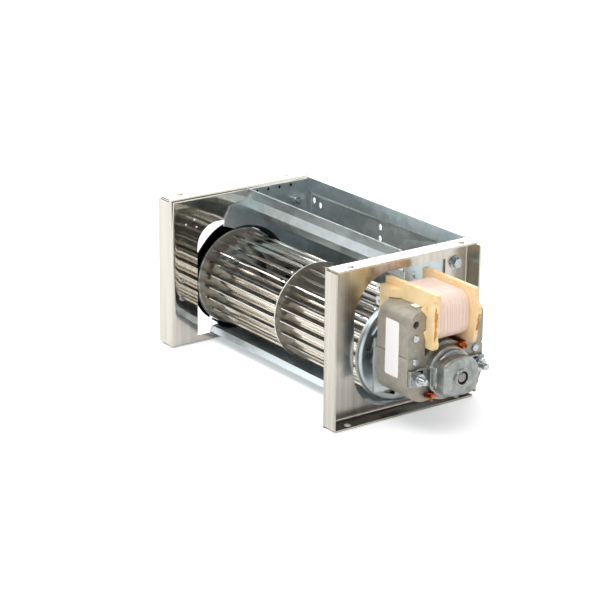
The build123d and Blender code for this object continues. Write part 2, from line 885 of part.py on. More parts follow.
def motor_shaft():
    """Shaft from the impeller hub through the rotor to the front bearing."""
    front = bracket_face(1) + boss_height - shaft_recess
    shaft = disc(hub_inner_end(1), front, shaft_radius)
    return chamfer(shaft.edges().sort_by(Axis.X)[-1], 0.4)


# Bearing brackets: side +1 is the front one, -1 the one towards the impeller
def bracket_seat(side):
    """Station of the face that a bearing bracket is clamped to."""
    return stack_front if side > 0 else stack_back - bracket_sheet


def bracket_depth(side):
    return hat_depth if side > 0 else rear_hat_depth


def bracket_face(side):
    """Station of the flat top of a bearing bracket."""
    return bracket_seat(side) + side * bracket_depth(side)


def hat_section(shrink):
    """Outline of the raised seat: a circle with flattened sides, top and bottom."""
    reach = hat_half_width - shrink
    low = -hat_below + shrink
    high = hat_above - shrink
    flat = Pos(*at_axis(0, (low + high) / 2)) * Rectangle(reach * 2, high - low)
    return flat & (Pos(axis_y, axis_z) * Circle(hat_radius - shrink))


def bearing_bracket(side):
    """Die-cast bracket: strap with two ears, stepped round dome, raised seat and boss."""
    seat = bracket_seat(side)
    face = bracket_face(side)
    dome_top = seat + side * dome_depth
    strap_top = seat + side * strap_sheet
    strap = Pos(axis_y, axis_z) * Rectangle(tie_bolt_y * 2, strap_half_height * 2)
    for end in (-1, 1):
        strap += Pos(*at_axis(end * tie_bolt_y, 0)) * RectangleRounded(ear_half * 2, ear_half * 2, 1.0)
    shape = across(strap, seat, strap_top)
    dome = disc(seat, dome_top, dome_radius)
    dome = chamfer(dome.edges().sort_by(Axis.X)[-1 if side > 0 else 0], 1.0)
    if side > 0:
        step = disc(seat, seat + step_depth, step_radius)
        dome += chamfer(step.edges().sort_by(Axis.X)[-1], 0.8)
    hat = across(hat_section(0), seat, face - side * hat_bevel)
    bevel_low = Plane.YZ.offset(face - side * hat_bevel) * hat_section(0)
    bevel_high = Plane.YZ.offset(face) * hat_section(hat_bevel)
    shape += dome + hat + loft([bevel_low.face(), bevel_high.face()])
    wall = bracket_wall
    shape -= disc(seat - side, seat + side * (dome_depth - wall), dome_radius - wall)
    hollow = across(hat_section(wall), seat - side, face - side * (bearing_width + wall))
    shape -= hollow
    socket_end = face - side * wall
    shape -= disc(seat, socket_end, bearing_radius + 0.02)
    if side > 0:
        boss = disc(face, face + boss_height, boss_radius)
        shape += fillet(boss.edges().sort_by(Axis.X)[-1], 0.5)
        shape -= disc(seat, face + boss_height + 1, boss_bore)
    else:
        shape -= disc(seat, face + side, boss_bore)
    for end in (-1, 1):
        y, z = at_axis(end * tie_bolt_y, 0)
        shape -= disc(seat - side * 2, strap_top + side * 2, tie_bolt_radius + pin_play, y, z)
    return shape - ring_pockets(seat - side, seat + side * (ring_bar + ring_clearance))


def motor_bush(side):
    """Sintered bearing with a rounded outside, in a bracket's socket."""
    wall_face = bracket_face(side) - side * bracket_wall
    inner = wall_face - side * bearing_width
    bore = shaft_radius + shaft_fit
    points = [(wall_face, bore), (wall_face, bearing_radius), (inner, bearing_radius), (inner, bore)]
    corners = {(wall_face, bearing_radius): 1.4, (inner, bearing_radius): 1.4}
    return turned(points, corners)


def bush_retainer(side):
    """Spring washer that holds a bearing in its socket."""
    inner = bracket_face(side) - side * (bracket_wall + bearing_width)
    washer = disc(inner - side * retainer_sheet, inner, bearing_radius)
    return washer - disc(inner - 2, inner + 2, shaft_radius + 0.8)


def motor_bracket():
    """Sheet bracket between the stack and the rear bearing bracket, footed on the web."""
    near = axis_z - bracket_below
    height = bracket_below + bracket_above
    plate_front = stack_back
    foot_face = half_width
    arm = cutout_rear - bracket_arm_gap
    path = FilletPolyline(
        (plate_front, axis_y - tie_bolt_y - 6.5),
        (plate_front, arm),
        (foot_face + bracket_sheet, arm),
        (foot_face + bracket_sheet, cutout_rear + bracket_foot),
        radius=bracket_bend,
    )
    outline = make_face(offset(path, amount=bracket_sheet, side=Side.LEFT).edges())
    piece = extrude(Plane.XY.offset(near) * outline, amount=height)
    piece -= disc(stack_back - 3, stack_back + 1, bracket_hole_radius)
    rivets, bolts = stator_pins()
    for y, z, radius in bolts:
        piece -= disc(stack_back - 3, stack_back + 1, radius + pin_play, *at_axis(y, z))
    for y, z, radius in rivets:
        piece -= disc(stack_back - 3, stack_back + 1, rivet_head_radius + 0.3, *at_axis(y, z))
    for y, z in bracket_screw_places():
        piece -= disc(foot_face - 1, foot_face + 3, screw_radius + pin_play, y, z)
    return piece - ring_pockets(stack_back - 3, stack_back + 1)


# Fasteners
def stack_rivets():
    """Headed rivets through both lamination packs."""
    rivets, bolts = stator_pins()
    pieces = []
    for y, z, radius in rivets:
        place = at_axis(y, z)
        rivet = disc(stack_back, stack_front, radius, *place)
        for face, direction in ((stack_back, -1), (stack_front, 1)):
            head = disc(face, face + direction * rivet_head_height, rivet_head_radius, *place)
            far_edge = head.edges().sort_by(Axis.X)[-1 if direction > 0 else 0]
            rivet += fillet(far_edge, rivet_head_height * 0.7)
        pieces.append(rivet)
    return pieces


def tie_bolts():
    """Two bolts through the rear bracket, the stack and the front bracket."""
    rear = bracket_seat(-1) - strap_sheet
    front = stack_front + strap_sheet + nut_height + bolt_tail
    bolts = []
    for side in (-1, 1):
        place = at_axis(side * tie_bolt_y, 0)
        bolt = disc(rear, front, tie_bolt_radius, *place)
        bolt += hexagon(rear - bolt_head_height, rear, nut_across, *place)
        bolts.append(chamfer(bolt.edges().sort_by(Axis.X)[-1], 0.4))
    return bolts


def tie_nuts():
    """Flange nuts on the front ears."""
    start = stack_front + strap_sheet
    nuts = []
    for side in (-1, 1):
        place = at_axis(side * tie_bolt_y, 0)
        nut = disc(start, start + nut_flange_sheet, nut_flange_radius, *place)
        nut += hexagon(start + nut_flange_sheet, start + nut_height, nut_across, *place)
        nuts.append(nut - disc(start - 1, start + nut_height + 1, tie_bolt_radius + pin_play, *place))
    return nuts


def flange_bolts():
    """Hexagon flange bolts that hold the side sheets to the webs."""
    bolts = []
    for side, places in bolt_places.items():
        for y, z in places:
            shank_end = sheet_inner - clinch_nut_length - 1.6
            shank = disc(side * shank_end, side * half_width, flange_bolt_radius, y, z)
            collar = disc(side * half_width, side * (half_width + 0.9), flange_bolt_flange, y, z)
            head_top = half_width + flange_bolt_head
            head = hexagon(side * (half_width + 0.9), side * head_top, flange_bolt_across, y, z)
            bolts.append(shank + collar + head)
    return bolts


def clinch_nuts():
    """Round nuts pressed on the inside of the side sheets."""
    nuts = []
    for side, places in bolt_places.items():
        for y, z in places:
            inner = sheet_inner - clinch_nut_length
            body = disc(side * inner, side * sheet_inner, clinch_nut_radius, y, z)
            hole = disc(side * (inner - 1), side * (sheet_inner + 1), flange_bolt_radius + pin_play, y, z)
            nuts.append(body - hole)
    return nuts


def pan_screw(head_face, direction, length, y, z):
    """A pan-head screw along X: head under face at head_face, shank the other way."""
    head = disc(head_face, head_face + direction * screw_head_height, screw_head_radius, y, z)
    head = fillet(head.edges().sort_by(Axis.X)[-1 if direction > 0 else 0], 1.2)
    shank = disc(head_face - direction * length, head_face, screw_radius, y, z)
    top = head_face + direction * screw_head_height
    reach = screw_head_radius - 0.4
    slot_x = (top - direction * screw_slot_depth, top + direction)
    slot = block(slot_x, (y - reach, y + reach), (z - 0.45, z + 0.45))
    return head + shank - slot


def bracket_screws():
    face = half_width + bracket_sheet
    length = bracket_sheet + plate_sheet + side_sheet
    return [pan_screw(face, 1, length, y, z) for y, z in bracket_screw_places()]


def strap_screws():
    face = -(half_width + bearing_strap_sheet)
    length = bearing_strap_sheet + plate_sheet + side_sheet
    return [pan_screw(face, -1, length, y, z) for y, z in strap_screw_places()]


os.makedirs("parts", exist_ok=True)

save("end_plate_left", end_plate_left())
save("end_plate_right", end_plate_right())
save("side_sheet_left", side_sheet_piece(-1))
save("side_sheet_right", side_sheet_piece(1))
save("outlet_channel", outlet_channel())
save("scroll_wall", scroll_wall())
save("rear_panel", rear_panel())

save("fan_blades_left", *blade_row(section_stations[0] + disc_sheet / 2, section_stations[1] - disc_sheet / 2))
save("fan_blades_right", *blade_row(section_stations[1] + disc_sheet / 2, section_stations[2] - disc_sheet / 2))
save("blade_ring_left", blade_ring(section_stations[0] - disc_sheet / 2, section_stations[0] + disc_sheet / 2))
save("blade_ring_right", blade_ring(section_stations[2] - disc_sheet / 2, section_stations[2] + disc_sheet / 2))
save("mid_disc", mid_disc())
save("end_cap_left", end_cap(-1))
save("end_cap_right", end_cap(1))
save("end_hub_left", end_hub(-1))
save("end_hub_right", end_hub(1))
save("hub_set_screws", grub_screw(-1), grub_screw(1))
save("stub_shaft", stub_shaft())

save("bearing_strap", bearing_strap())
save("bearing_rubber", mount_rubber())
save("bearing_bush_left", left_bush())
save("strap_screws", *strap_screws())

save("stator_lower", stator_lower())
save("stator_upper", stator_upper())
save("bobbin", bobbin())
save("coil", coil())
save("coil_terminals", *coil_terminals())
save("shading_rings", shading_ring(1), shading_ring(-1))
save("stack_rivets", *stack_rivets())
save("rotor_core", rotor_core())
save("rotor_rings", *rotor_rings())
save("motor_shaft", motor_shaft())
save("bearing_bracket_front", bearing_bracket(1))
save("bearing_bracket_rear", bearing_bracket(-1))
save("motor_bush_front", motor_bush(1))
save("motor_bush_rear", motor_bush(-1))
save("bush_retainers", bush_retainer(1), bush_retainer(-1))
save("motor_bracket", motor_bracket())
save("tie_bolts", *tie_bolts())
save("tie_nuts", *tie_nuts())
save("bracket_screws", *bracket_screws())
save("flange_bolts", *flange_bolts())
save("clinch_nuts", *clinch_nuts())
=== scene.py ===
"""Crossflow fan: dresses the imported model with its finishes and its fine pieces, for one studio view."""

from __future__ import annotations

import json
import logging
import math
import random
from dataclasses import dataclass
from enum import Enum

import bmesh
import bpy
from mathutils import Matrix, Vector


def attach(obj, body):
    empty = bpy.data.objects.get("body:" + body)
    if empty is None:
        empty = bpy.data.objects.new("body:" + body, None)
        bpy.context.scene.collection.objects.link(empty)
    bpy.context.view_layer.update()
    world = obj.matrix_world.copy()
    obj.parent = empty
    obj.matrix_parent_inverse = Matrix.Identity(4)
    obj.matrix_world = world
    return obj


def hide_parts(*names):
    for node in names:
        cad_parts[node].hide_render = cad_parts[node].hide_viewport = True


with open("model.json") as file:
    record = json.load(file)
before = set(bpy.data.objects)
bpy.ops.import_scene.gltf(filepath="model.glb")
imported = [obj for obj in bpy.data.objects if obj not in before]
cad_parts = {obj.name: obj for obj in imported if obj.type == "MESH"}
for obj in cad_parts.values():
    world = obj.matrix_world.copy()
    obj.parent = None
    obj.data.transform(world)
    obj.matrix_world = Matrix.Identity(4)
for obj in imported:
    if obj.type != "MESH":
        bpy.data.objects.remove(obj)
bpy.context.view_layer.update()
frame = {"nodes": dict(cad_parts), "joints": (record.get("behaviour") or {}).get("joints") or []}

MM = 0.001
AXIS = Vector(frame["joints"][0]["pos_m"]) / MM
WELD = 0.002 * MM
LOG = logging.getLogger("crossflow_fan")

# A noise pattern keeps mostly between these two values
PATTERN_LOW = 0.3
PATTERN_HIGH = 0.7

# A wave texture of scale 1 draws this many bands per unit of length
BANDS_PER_UNIT = 3.18

# Energy per square metre at which the face of an area lamp is as bright as white
FACE_WATTS = 4.0

EVEN = (1, 1, 1)
Profile = tuple[tuple[float, float], ...]
Span = tuple[float, float]

# A pattern that stands out of a surface, the strength of its effect and its height in millimetres
Relief = tuple[bpy.types.NodeSocket, float, float]


# Colour and node helpers


def linear(hex_colour: str) -> tuple[float, float, float, float]:
    """Turn an sRGB hex colour into the linear colour that a shader reads.

    Args:
        hex_colour: the colour as "#RRGGBB".

    Returns:
        Linear red, green, blue and an alpha of 1.
    """
    channels = [int(hex_colour[start : start + 2], 16) / 255 for start in (1, 3, 5)]
    values = [c / 12.92 if c <= 0.04045 else ((c + 0.055) / 1.055) ** 2.4 for c in channels]
    return (*values, 1.0)


def add_node(
    tree: bpy.types.NodeTree, kind: str, settings: dict | None = None, inputs: dict | None = None
) -> bpy.types.Node:
    """Add one node with its settings, values and links.

    Args:
        tree: the node tree that gets the node.
        kind: the node's type name.
        settings: attribute values by name.
        inputs: a value or a source socket for each input, by name or number.

    Returns:
        The new node.
    """
    node = tree.nodes.new(kind)
    for name, value in (settings or {}).items():
        setattr(node, name, value)
    for socket, value in (inputs or {}).items():
        if isinstance(value, bpy.types.NodeSocket):
            tree.links.new(value, node.inputs[socket])
        else:
            node.inputs[socket].default_value = value
    return node


class Grain(Enum):
    """Direction in which a sheet was rolled or brushed, as its pattern's stretch along X, Y and Z."""

    ALONG_X = (0.02, 1.0, 1.0)
    ALONG_Z = (1.0, 1.0, 0.02)


# Finishes


@dataclass(frozen=True)
class Finish:
    """What every finish shares: a name, a colour and the shader's own settings."""

    name: str
    colour: str
    metallic: float = 0.0
    roughness: float = 0.5

    def material(self) -> bpy.types.Material:
        """Find the finish's material, or make it the first time it is asked for.

        Returns:
            The material.
        """
        made = bpy.data.materials.get(self.name)
        if made:
            return made
        made = bpy.data.materials.new(self.name)
        made.use_nodes = True
        tree = made.node_tree
        tree.nodes.clear()
        shader = add_node(
            tree, "ShaderNodeBsdfPrincipled",
            inputs={
                "Base Color": linear(self.colour), "Metallic": self.metallic, "Roughness": self.roughness,
            },
        )
        add_node(tree, "ShaderNodeOutputMaterial", inputs={"Surface": shader.outputs["BSDF"]})
        made.diffuse_color = linear(self.colour)
        relief = self.work(tree, shader)
        if relief:
            height, strength, depth = relief
            bump = add_node(
                tree, "ShaderNodeBump",
                inputs={"Height": height, "Strength": strength, "Distance": depth * MM},
            )
            tree.links.new(bump.outputs["Normal"], shader.inputs["Normal"])
        return made

    def work(self, tree: bpy.types.NodeTree, shader: bpy.types.Node) -> Relief | None:
        """Add the finish's own pattern; a plain finish has none.

        Args:
            tree: the material's node tree.
            shader: its surface shader.

        Returns:
            The relief of the surface, or None.
        """
        return None

    def points(self, tree: bpy.types.NodeTree, stretch: tuple[float, float, float]) -> bpy.types.NodeSocket:
        """Give the object coordinates in millimetres, stretched along the axes.

        Args:
            tree: the material's node tree.
            stretch: factor along X, Y and Z; a small one draws the pattern out.

        Returns:
            The socket with the coordinates.
        """
        place = add_node(tree, "ShaderNodeTexCoord")
        scale = tuple(factor / MM for factor in stretch)
        scaled = add_node(
            tree, "ShaderNodeMapping", inputs={"Vector": place.outputs["Object"], "Scale": scale}
        )
        return scaled.outputs["Vector"]

    def spread(
        self, tree: bpy.types.NodeTree, value: bpy.types.NodeSocket, low: float, high: float
    ) -> bpy.types.NodeSocket:
        """Map a pattern from the middle of its range to low and high.

        Args:
            tree: the material's node tree.
            value: the pattern.
            low: result at PATTERN_LOW.
            high: result at PATTERN_HIGH.

        Returns:
            The socket with the mapped value.
        """
        mapped = add_node(
            tree, "ShaderNodeMapRange",
            inputs={
                "Value": value, "From Min": PATTERN_LOW, "From Max": PATTERN_HIGH,
                "To Min": low, "To Max": high,
            },
        )
        return mapped.outputs["Result"]

    def tint(
        self, tree: bpy.types.NodeTree, value: bpy.types.NodeSocket, dark: str, light: str
    ) -> bpy.types.NodeSocket:
        """Blend two colours by a pattern.

        Args:
            tree: the material's node tree.
            value: the pattern, 0 to 1.
            dark: colour at 0.
            light: colour at 1.

        Returns:
            The socket with the colour.
        """
        mixed = add_node(
            tree, "ShaderNodeMix",
            settings={"data_type": "RGBA"}, inputs={0: value, 6: linear(dark), 7: linear(light)},
        )
        return mixed.outputs[2]


@dataclass(frozen=True)
class BrushedStainless(Finish):
    """Brushed ferritic stainless sheet: soft mirror, drawn out along the brushing, warm grey.

    The brush lines are drawn coarser than real ones, so that they show. flange_shade darkens the upward face
    of a bottom flange, as a stand-in for the dark reflection that the real sheet probably has there.
    """

    grain: Grain = Grain.ALONG_Z
    light: str = "#E6E2DA"
    brush_pitch: float = 0.5
    brush_bump: float = 0.1
    streak: float = 3.0
    mark: float = 24.0
    flange_shade: float = 0.0
    flange_dark: str = "#1E1D1C"
    flange_level: float = 3.0
    flange_fade: float = 6.0

    def shaded_flange(self, tree: bpy.types.NodeTree) -> bpy.types.NodeSocket:
        """Pick out the upward faces near the base.

        Args:
            tree: the material's node tree.

        Returns:
            The socket with the share of darkening.
        """
        facing = add_node(tree, "ShaderNodeNewGeometry")
        upward = add_node(tree, "ShaderNodeSeparateXYZ", inputs={"Vector": facing.outputs["Normal"]})
        place = add_node(tree, "ShaderNodeTexCoord")
        height = add_node(tree, "ShaderNodeSeparateXYZ", inputs={"Vector": place.outputs["Object"]})
        flat = add_node(
            tree, "ShaderNodeMapRange",
            inputs={"Value": upward.outputs["Z"], "From Min": 0.5, "From Max": 0.9},
        )
        low = add_node(
            tree, "ShaderNodeMapRange",
            inputs={
                "Value": height.outputs["Z"], "From Min": self.flange_fade * MM,
                "From Max": self.flange_level * MM,
            },
        )
        picked = add_node(
            tree, "ShaderNodeMath",
            settings={"operation": "MULTIPLY"}, inputs={0: flat.outputs["Result"], 1: low.outputs["Result"]},
        )
        share = add_node(
            tree, "ShaderNodeMath",
            settings={"operation": "MULTIPLY"}, inputs={0: picked.outputs[0], 1: self.flange_shade},
        )
        return share.outputs[0]

    def work(self, tree: bpy.types.NodeTree, shader: bpy.types.Node) -> Relief | None:
        """Add brush lines, wider streaks along them and soft handling marks.

        Args:
            tree: the material's node tree.
            shader: its surface shader.

        Returns:
            The relief of the surface, or None.
        """
        lines = add_node(
            tree, "ShaderNodeTexNoise",
            inputs={
                "Vector": self.points(tree, self.grain.value), "Scale": 1 / self.brush_pitch, "Detail": 3.0,
                "Roughness": 0.7,
            },
        )
        marks = add_node(
            tree, "ShaderNodeTexNoise",
            inputs={
                "Vector": self.points(tree, EVEN), "Scale": 1 / self.mark, "Detail": 4.0, "Roughness": 0.6,
            },
        )
        both = add_node(
            tree, "ShaderNodeMath",
            settings={"operation": "MULTIPLY_ADD"},
            inputs={0: lines.outputs["Fac"], 1: 0.35, 2: marks.outputs["Fac"]},
        )
        gloss = self.spread(tree, both.outputs[0], self.roughness * 0.8, self.roughness * 1.3)
        tree.links.new(gloss, shader.inputs["Roughness"])
        streaks = add_node(
            tree, "ShaderNodeTexNoise",
            inputs={"Vector": self.points(tree, self.grain.value), "Scale": 1 / self.streak, "Detail": 3.0},
        )
        fine = self.spread(tree, lines.outputs["Fac"], 0, 0.5)
        wide = self.spread(tree, streaks.outputs["Fac"], 0, 0.6)
        shade = add_node(
            tree, "ShaderNodeMath", settings={"operation": "MULTIPLY_ADD"}, inputs={0: fine, 1: 0.8, 2: wide}
        )
        sheet = self.tint(tree, shade.outputs[0], self.colour, self.light)
        shaded = add_node(
            tree, "ShaderNodeMix",
            settings={"data_type": "RGBA"},
            inputs={0: self.shaded_flange(tree), 6: sheet, 7: linear(self.flange_dark)},
        )
        tree.links.new(shaded.outputs[2], shader.inputs["Base Color"])
        return lines.outputs["Fac"], self.brush_bump, 0.2


@dataclass(frozen=True)
class GalvanisedSheet(Finish):
    """Hot-dip galvanised sheet: blue-grey zinc crystals, each with its own shade and gloss."""

    crystal: float = 5.0
    feathering: float = 3.0
    light: str = "#DDE6E9"

    def work(self, tree: bpy.types.NodeTree, shader: bpy.types.Node) -> Relief | None:
        """Add zinc spangle as cells, broken up by fine feathering, with dull handling patches.

        Args:
            tree: the material's node tree.
            shader: its surface shader.

        Returns:
            The relief of the surface, or None.
        """
        feather = add_node(
            tree, "ShaderNodeTexNoise",
            inputs={"Vector": self.points(tree, EVEN), "Scale": 0.35, "Detail": 5.0, "Roughness": 0.65},
        )
        bent = add_node(
            tree, "ShaderNodeVectorMath",
            settings={"operation": "MULTIPLY_ADD"},
            inputs={0: feather.outputs["Color"], 1: (self.feathering,) * 3, 2: self.points(tree, EVEN)},
        )
        cells = add_node(
            tree, "ShaderNodeTexVoronoi",
            inputs={"Vector": bent.outputs[0], "Scale": 1 / self.crystal, "Randomness": 1.0},
        )
        shade = add_node(tree, "ShaderNodeSeparateColor", inputs={"Color": cells.outputs["Color"]})
        patches = self.spread(tree, feather.outputs["Fac"], 0.0, 0.45)
        mixed = add_node(
            tree, "ShaderNodeMath",
            settings={"operation": "MULTIPLY_ADD"}, inputs={0: shade.outputs[0], 1: 0.55, 2: patches},
        )
        colour = self.tint(tree, mixed.outputs[0], self.colour, self.light)
        tree.links.new(colour, shader.inputs["Base Color"])
        gloss = add_node(
            tree, "ShaderNodeMapRange",
            inputs={
                "Value": mixed.outputs[0], "To Min": self.roughness - 0.07, "To Max": self.roughness + 0.1,
            },
        )
        tree.links.new(gloss.outputs["Result"], shader.inputs["Roughness"])
        return feather.outputs["Fac"], 0.04, 0.4


@dataclass(frozen=True)
class BrightStrip(Finish):
    """Cold-rolled bright steel strip: near-mirror blades with faint lines from the rolls along them."""

    light: str = "#FAF7F1"

    def work(self, tree: bpy.types.NodeTree, shader: bpy.types.Node) -> Relief | None:
        """Add rolling lines along the blade and a light film that softens the gloss in places.

        Args:
            tree: the material's node tree.
            shader: its surface shader.

        Returns:
            The relief of the surface, or None.
        """
        lines = add_node(
            tree, "ShaderNodeTexNoise",
            inputs={"Vector": self.points(tree, Grain.ALONG_X.value), "Scale": 2.2, "Detail": 2.0},
        )
        film = add_node(
            tree, "ShaderNodeTexNoise",
            inputs={"Vector": self.points(tree, (0.3, 1, 1)), "Scale": 0.08, "Detail": 2.0, "Roughness": 0.5},
        )
        gloss = self.spread(tree, film.outputs["Fac"], self.roughness - 0.015, self.roughness + 0.025)
        tree.links.new(gloss, shader.inputs["Roughness"])
        colour = self.tint(tree, self.spread(tree, lines.outputs["Fac"], 0, 1), self.colour, self.light)
        tree.links.new(colour, shader.inputs["Base Color"])
        return None


@dataclass(frozen=True)
class LaminatedSteel(Finish):
    """Varnished electrical steel stampings: fine edge lines across the stack, brown-grey, dull sheen.

    The lines are drawn a little coarser than the usual 0.5 mm sheet, so that they show.
    """

    sheet: float = 0.65
    light: str = "#C9C4B8"

    def work(self, tree: bpy.types.NodeTree, shader: bpy.types.Node) -> Relief | None:
        """Add stamped edges, one to each sheet thickness along X, on the faces that show them, and blotches.

        Args:
            tree: the material's node tree.
            shader: its surface shader.

        Returns:
            The relief of the surface, or None.
        """
        stack = add_node(
            tree, "ShaderNodeTexWave",
            settings={"wave_type": "BANDS", "bands_direction": "X", "wave_profile": "SIN"},
            inputs={
                "Vector": self.points(tree, (1, 0.06, 0.06)), "Scale": 1 / self.sheet / BANDS_PER_UNIT,
                "Distortion": 1.6, "Detail": 2.0, "Detail Scale": 1.5,
            },
        )
        blotch = add_node(
            tree, "ShaderNodeTexNoise",
            inputs={"Vector": self.points(tree, EVEN), "Scale": 0.22, "Detail": 6.0, "Roughness": 0.7},
        )
        facing = add_node(tree, "ShaderNodeNewGeometry")
        split = add_node(tree, "ShaderNodeSeparateXYZ", inputs={"Vector": facing.outputs["Normal"]})
        flat = add_node(
            tree, "ShaderNodeMath", settings={"operation": "ABSOLUTE"}, inputs={0: split.outputs[0]}
        )
        edge = add_node(
            tree, "ShaderNodeMath",
            settings={"operation": "SUBTRACT", "use_clamp": True}, inputs={0: 1.0, 1: flat.outputs[0]},
        )
        lines = add_node(
            tree, "ShaderNodeMath",
            settings={"operation": "MULTIPLY"}, inputs={0: stack.outputs["Fac"], 1: edge.outputs[0]},
        )
        patches = self.spread(tree, blotch.outputs["Fac"], 0.05, 0.6)
        tone = add_node(
            tree, "ShaderNodeMath",
            settings={"operation": "MULTIPLY_ADD"}, inputs={0: lines.outputs[0], 1: 0.4, 2: patches},
        )
        colour = self.tint(tree, tone.outputs[0], self.colour, self.light)
        tree.links.new(colour, shader.inputs["Base Color"])
        gloss = self.spread(tree, blotch.outputs["Fac"], self.roughness - 0.06, self.roughness + 0.1)
        tree.links.new(gloss, shader.inputs["Roughness"])
        return lines.outputs[0], 0.4, 0.25


@dataclass(frozen=True)
class Casting(Finish):
    """Pressure die casting: dull metal skin with fine grit, and outer edges painted brighter, partly as
    rubbed wear and partly as a painted highlight.

    The grit is drawn at 0.6 mm so that it shows.
    """

    edge_wear_and_highlight: str = "#A9ACAE"
    edge_radius: float = 0.7

    def work(self, tree: bpy.types.NodeTree, shader: bpy.types.Node) -> Relief | None:
        """Add cast grit, flow marks, and outer edges painted brighter, partly as rubbed wear and partly as a
        painted highlight.

        Args:
            tree: the material's node tree.
            shader: its surface shader.

        Returns:
            The relief of the surface, or None.
        """
        grit = add_node(
            tree, "ShaderNodeTexNoise",
            inputs={"Vector": self.points(tree, EVEN), "Scale": 1.6, "Detail": 4.0, "Roughness": 0.6},
        )
        flow = add_node(
            tree, "ShaderNodeTexNoise",
            inputs={"Vector": self.points(tree, EVEN), "Scale": 0.2, "Detail": 5.0, "Distortion": 0.4},
        )
        shape = add_node(tree, "ShaderNodeNewGeometry")
        rounded = add_node(
            tree, "ShaderNodeBevel", settings={"samples": 6}, inputs={"Radius": self.edge_radius * MM}
        )
        near = add_node(
            tree, "ShaderNodeVectorMath",
            settings={"operation": "DOT_PRODUCT"},
            inputs={0: rounded.outputs["Normal"], 1: shape.outputs["Normal"]},
        )
        # Outer edges painted brighter: rubbed wear and a painted highlight
        rub = add_node(
            tree, "ShaderNodeMapRange",
            inputs={"Value": near.outputs["Value"], "From Min": 0.995, "From Max": 0.93, "To Max": 1.0},
        )
        marks = self.spread(tree, flow.outputs["Fac"], 0.1, 0.5)
        tone = add_node(
            tree, "ShaderNodeMath",
            settings={"operation": "MAXIMUM"}, inputs={0: rub.outputs["Result"], 1: marks},
        )
        colour = self.tint(tree, tone.outputs[0], self.colour, self.edge_wear_and_highlight)
        tree.links.new(colour, shader.inputs["Base Color"])
        gloss = self.spread(tree, grit.outputs["Fac"], self.roughness - 0.05, self.roughness + 0.1)
        tree.links.new(gloss, shader.inputs["Roughness"])
        return grit.outputs["Fac"], 0.3, 0.3


@dataclass(frozen=True)
class MouldedNylon(Finish):
    """Glass-filled nylon moulding: cream, faintly translucent, with cloudy, browner flow marks."""

    browned: str = "#EFC98A"

    def work(self, tree: bpy.types.NodeTree, shader: bpy.types.Node) -> Relief | None:
        """Add the clouding of the moulding, a satin skin and a little light that passes below it.

        Args:
            tree: the material's node tree.
            shader: its surface shader.

        Returns:
            The relief of the surface, or None.
        """
        cloud = add_node(
            tree, "ShaderNodeTexNoise",
            inputs={"Vector": self.points(tree, EVEN), "Scale": 0.16, "Detail": 5.0, "Roughness": 0.6},
        )
        cloudy = self.spread(tree, cloud.outputs["Fac"], 0.75, 0.0)
        tree.links.new(self.tint(tree, cloudy, self.colour, self.browned), shader.inputs["Base Color"])
        skin = add_node(
            tree, "ShaderNodeTexNoise",
            inputs={"Vector": self.points(tree, EVEN), "Scale": 1.2, "Detail": 3.0},
        )
        gloss = self.spread(tree, skin.outputs["Fac"], self.roughness - 0.08, self.roughness + 0.08)
        tree.links.new(gloss, shader.inputs["Roughness"])
        shader.inputs["Subsurface Weight"].default_value = 0.12
        shader.inputs["Subsurface Radius"].default_value = (1.5 * MM, 0.9 * MM, 0.5 * MM)
        shader.inputs["Subsurface Scale"].default_value = 1.0
        return skin.outputs["Fac"], 0.15, 0.3


@dataclass(frozen=True)
class TapedWinding(Finish):
    """Polyester tape over a copper winding: pale pink film, glossy, with painted shade in the valleys between
    the turns.
    """

    light: str = "#F3E1D8"
    valley: str = "#CFA08A"

    def work(self, tree: bpy.types.NodeTree, shader: bpy.types.Node) -> Relief | None:
        """Add bands of turns across the winding, creases round it and painted shade in the valleys between
        the ridges.

        Args:
            tree: the material's node tree.
            shader: its surface shader.

        Returns:
            The relief of the surface, or None.
        """
        bands = add_node(
            tree, "ShaderNodeTexNoise",
            inputs={
                "Vector": self.points(tree, (0.03, 1, 0.03)), "Scale": 0.8, "Detail": 4.0, "Roughness": 0.7,
            },
        )
        crease = add_node(
            tree, "ShaderNodeTexNoise",
            inputs={"Vector": self.points(tree, (0.25, 1.4, 0.25)), "Scale": 0.5, "Detail": 6.0},
        )
        skin = self.tint(tree, self.spread(tree, bands.outputs["Fac"], 0.0, 1.0), self.colour, self.light)
        shape = add_node(tree, "ShaderNodeNewGeometry")
        # Painted shade: a darker colour in the valleys between the ridges
        valley = add_node(
            tree, "ShaderNodeMapRange",
            inputs={"Value": shape.outputs["Pointiness"], "From Min": 0.44, "From Max": 0.5},
        )
        valley_shaded = add_node(
            tree, "ShaderNodeMix",
            settings={"data_type": "RGBA"},
            inputs={0: valley.outputs["Result"], 6: linear(self.valley), 7: skin},
        )
        tree.links.new(valley_shaded.outputs[2], shader.inputs["Base Color"])
        tree.links.new(self.spread(tree, crease.outputs["Fac"], 0.28, 0.5), shader.inputs["Roughness"])
        return crease.outputs["Fac"], 0.35, 0.5


@dataclass(frozen=True)
class PlainMetal(Finish):
    """Small plated, drawn or ground metal parts: even colour with fine mottling in the gloss."""

    light: str = "#D5D8DA"

    def work(self, tree: bpy.types.NodeTree, shader: bpy.types.Node) -> Relief | None:
        """Add fine mottling of colour and gloss.

        Args:
            tree: the material's node tree.
            shader: its surface shader.

        Returns:
            The relief of the surface, or None.
        """
        mottle = add_node(
            tree, "ShaderNodeTexNoise",
            inputs={"Vector": self.points(tree, EVEN), "Scale": 0.9, "Detail": 4.0, "Roughness": 0.6},
        )
        mottled = self.spread(tree, mottle.outputs["Fac"], 0.0, 1.0)
        tree.links.new(self.tint(tree, mottled, self.colour, self.light), shader.inputs["Base Color"])
        gloss = self.spread(tree, mottle.outputs["Fac"], self.roughness - 0.06, self.roughness + 0.08)
        tree.links.new(gloss, shader.inputs["Roughness"])
        return None


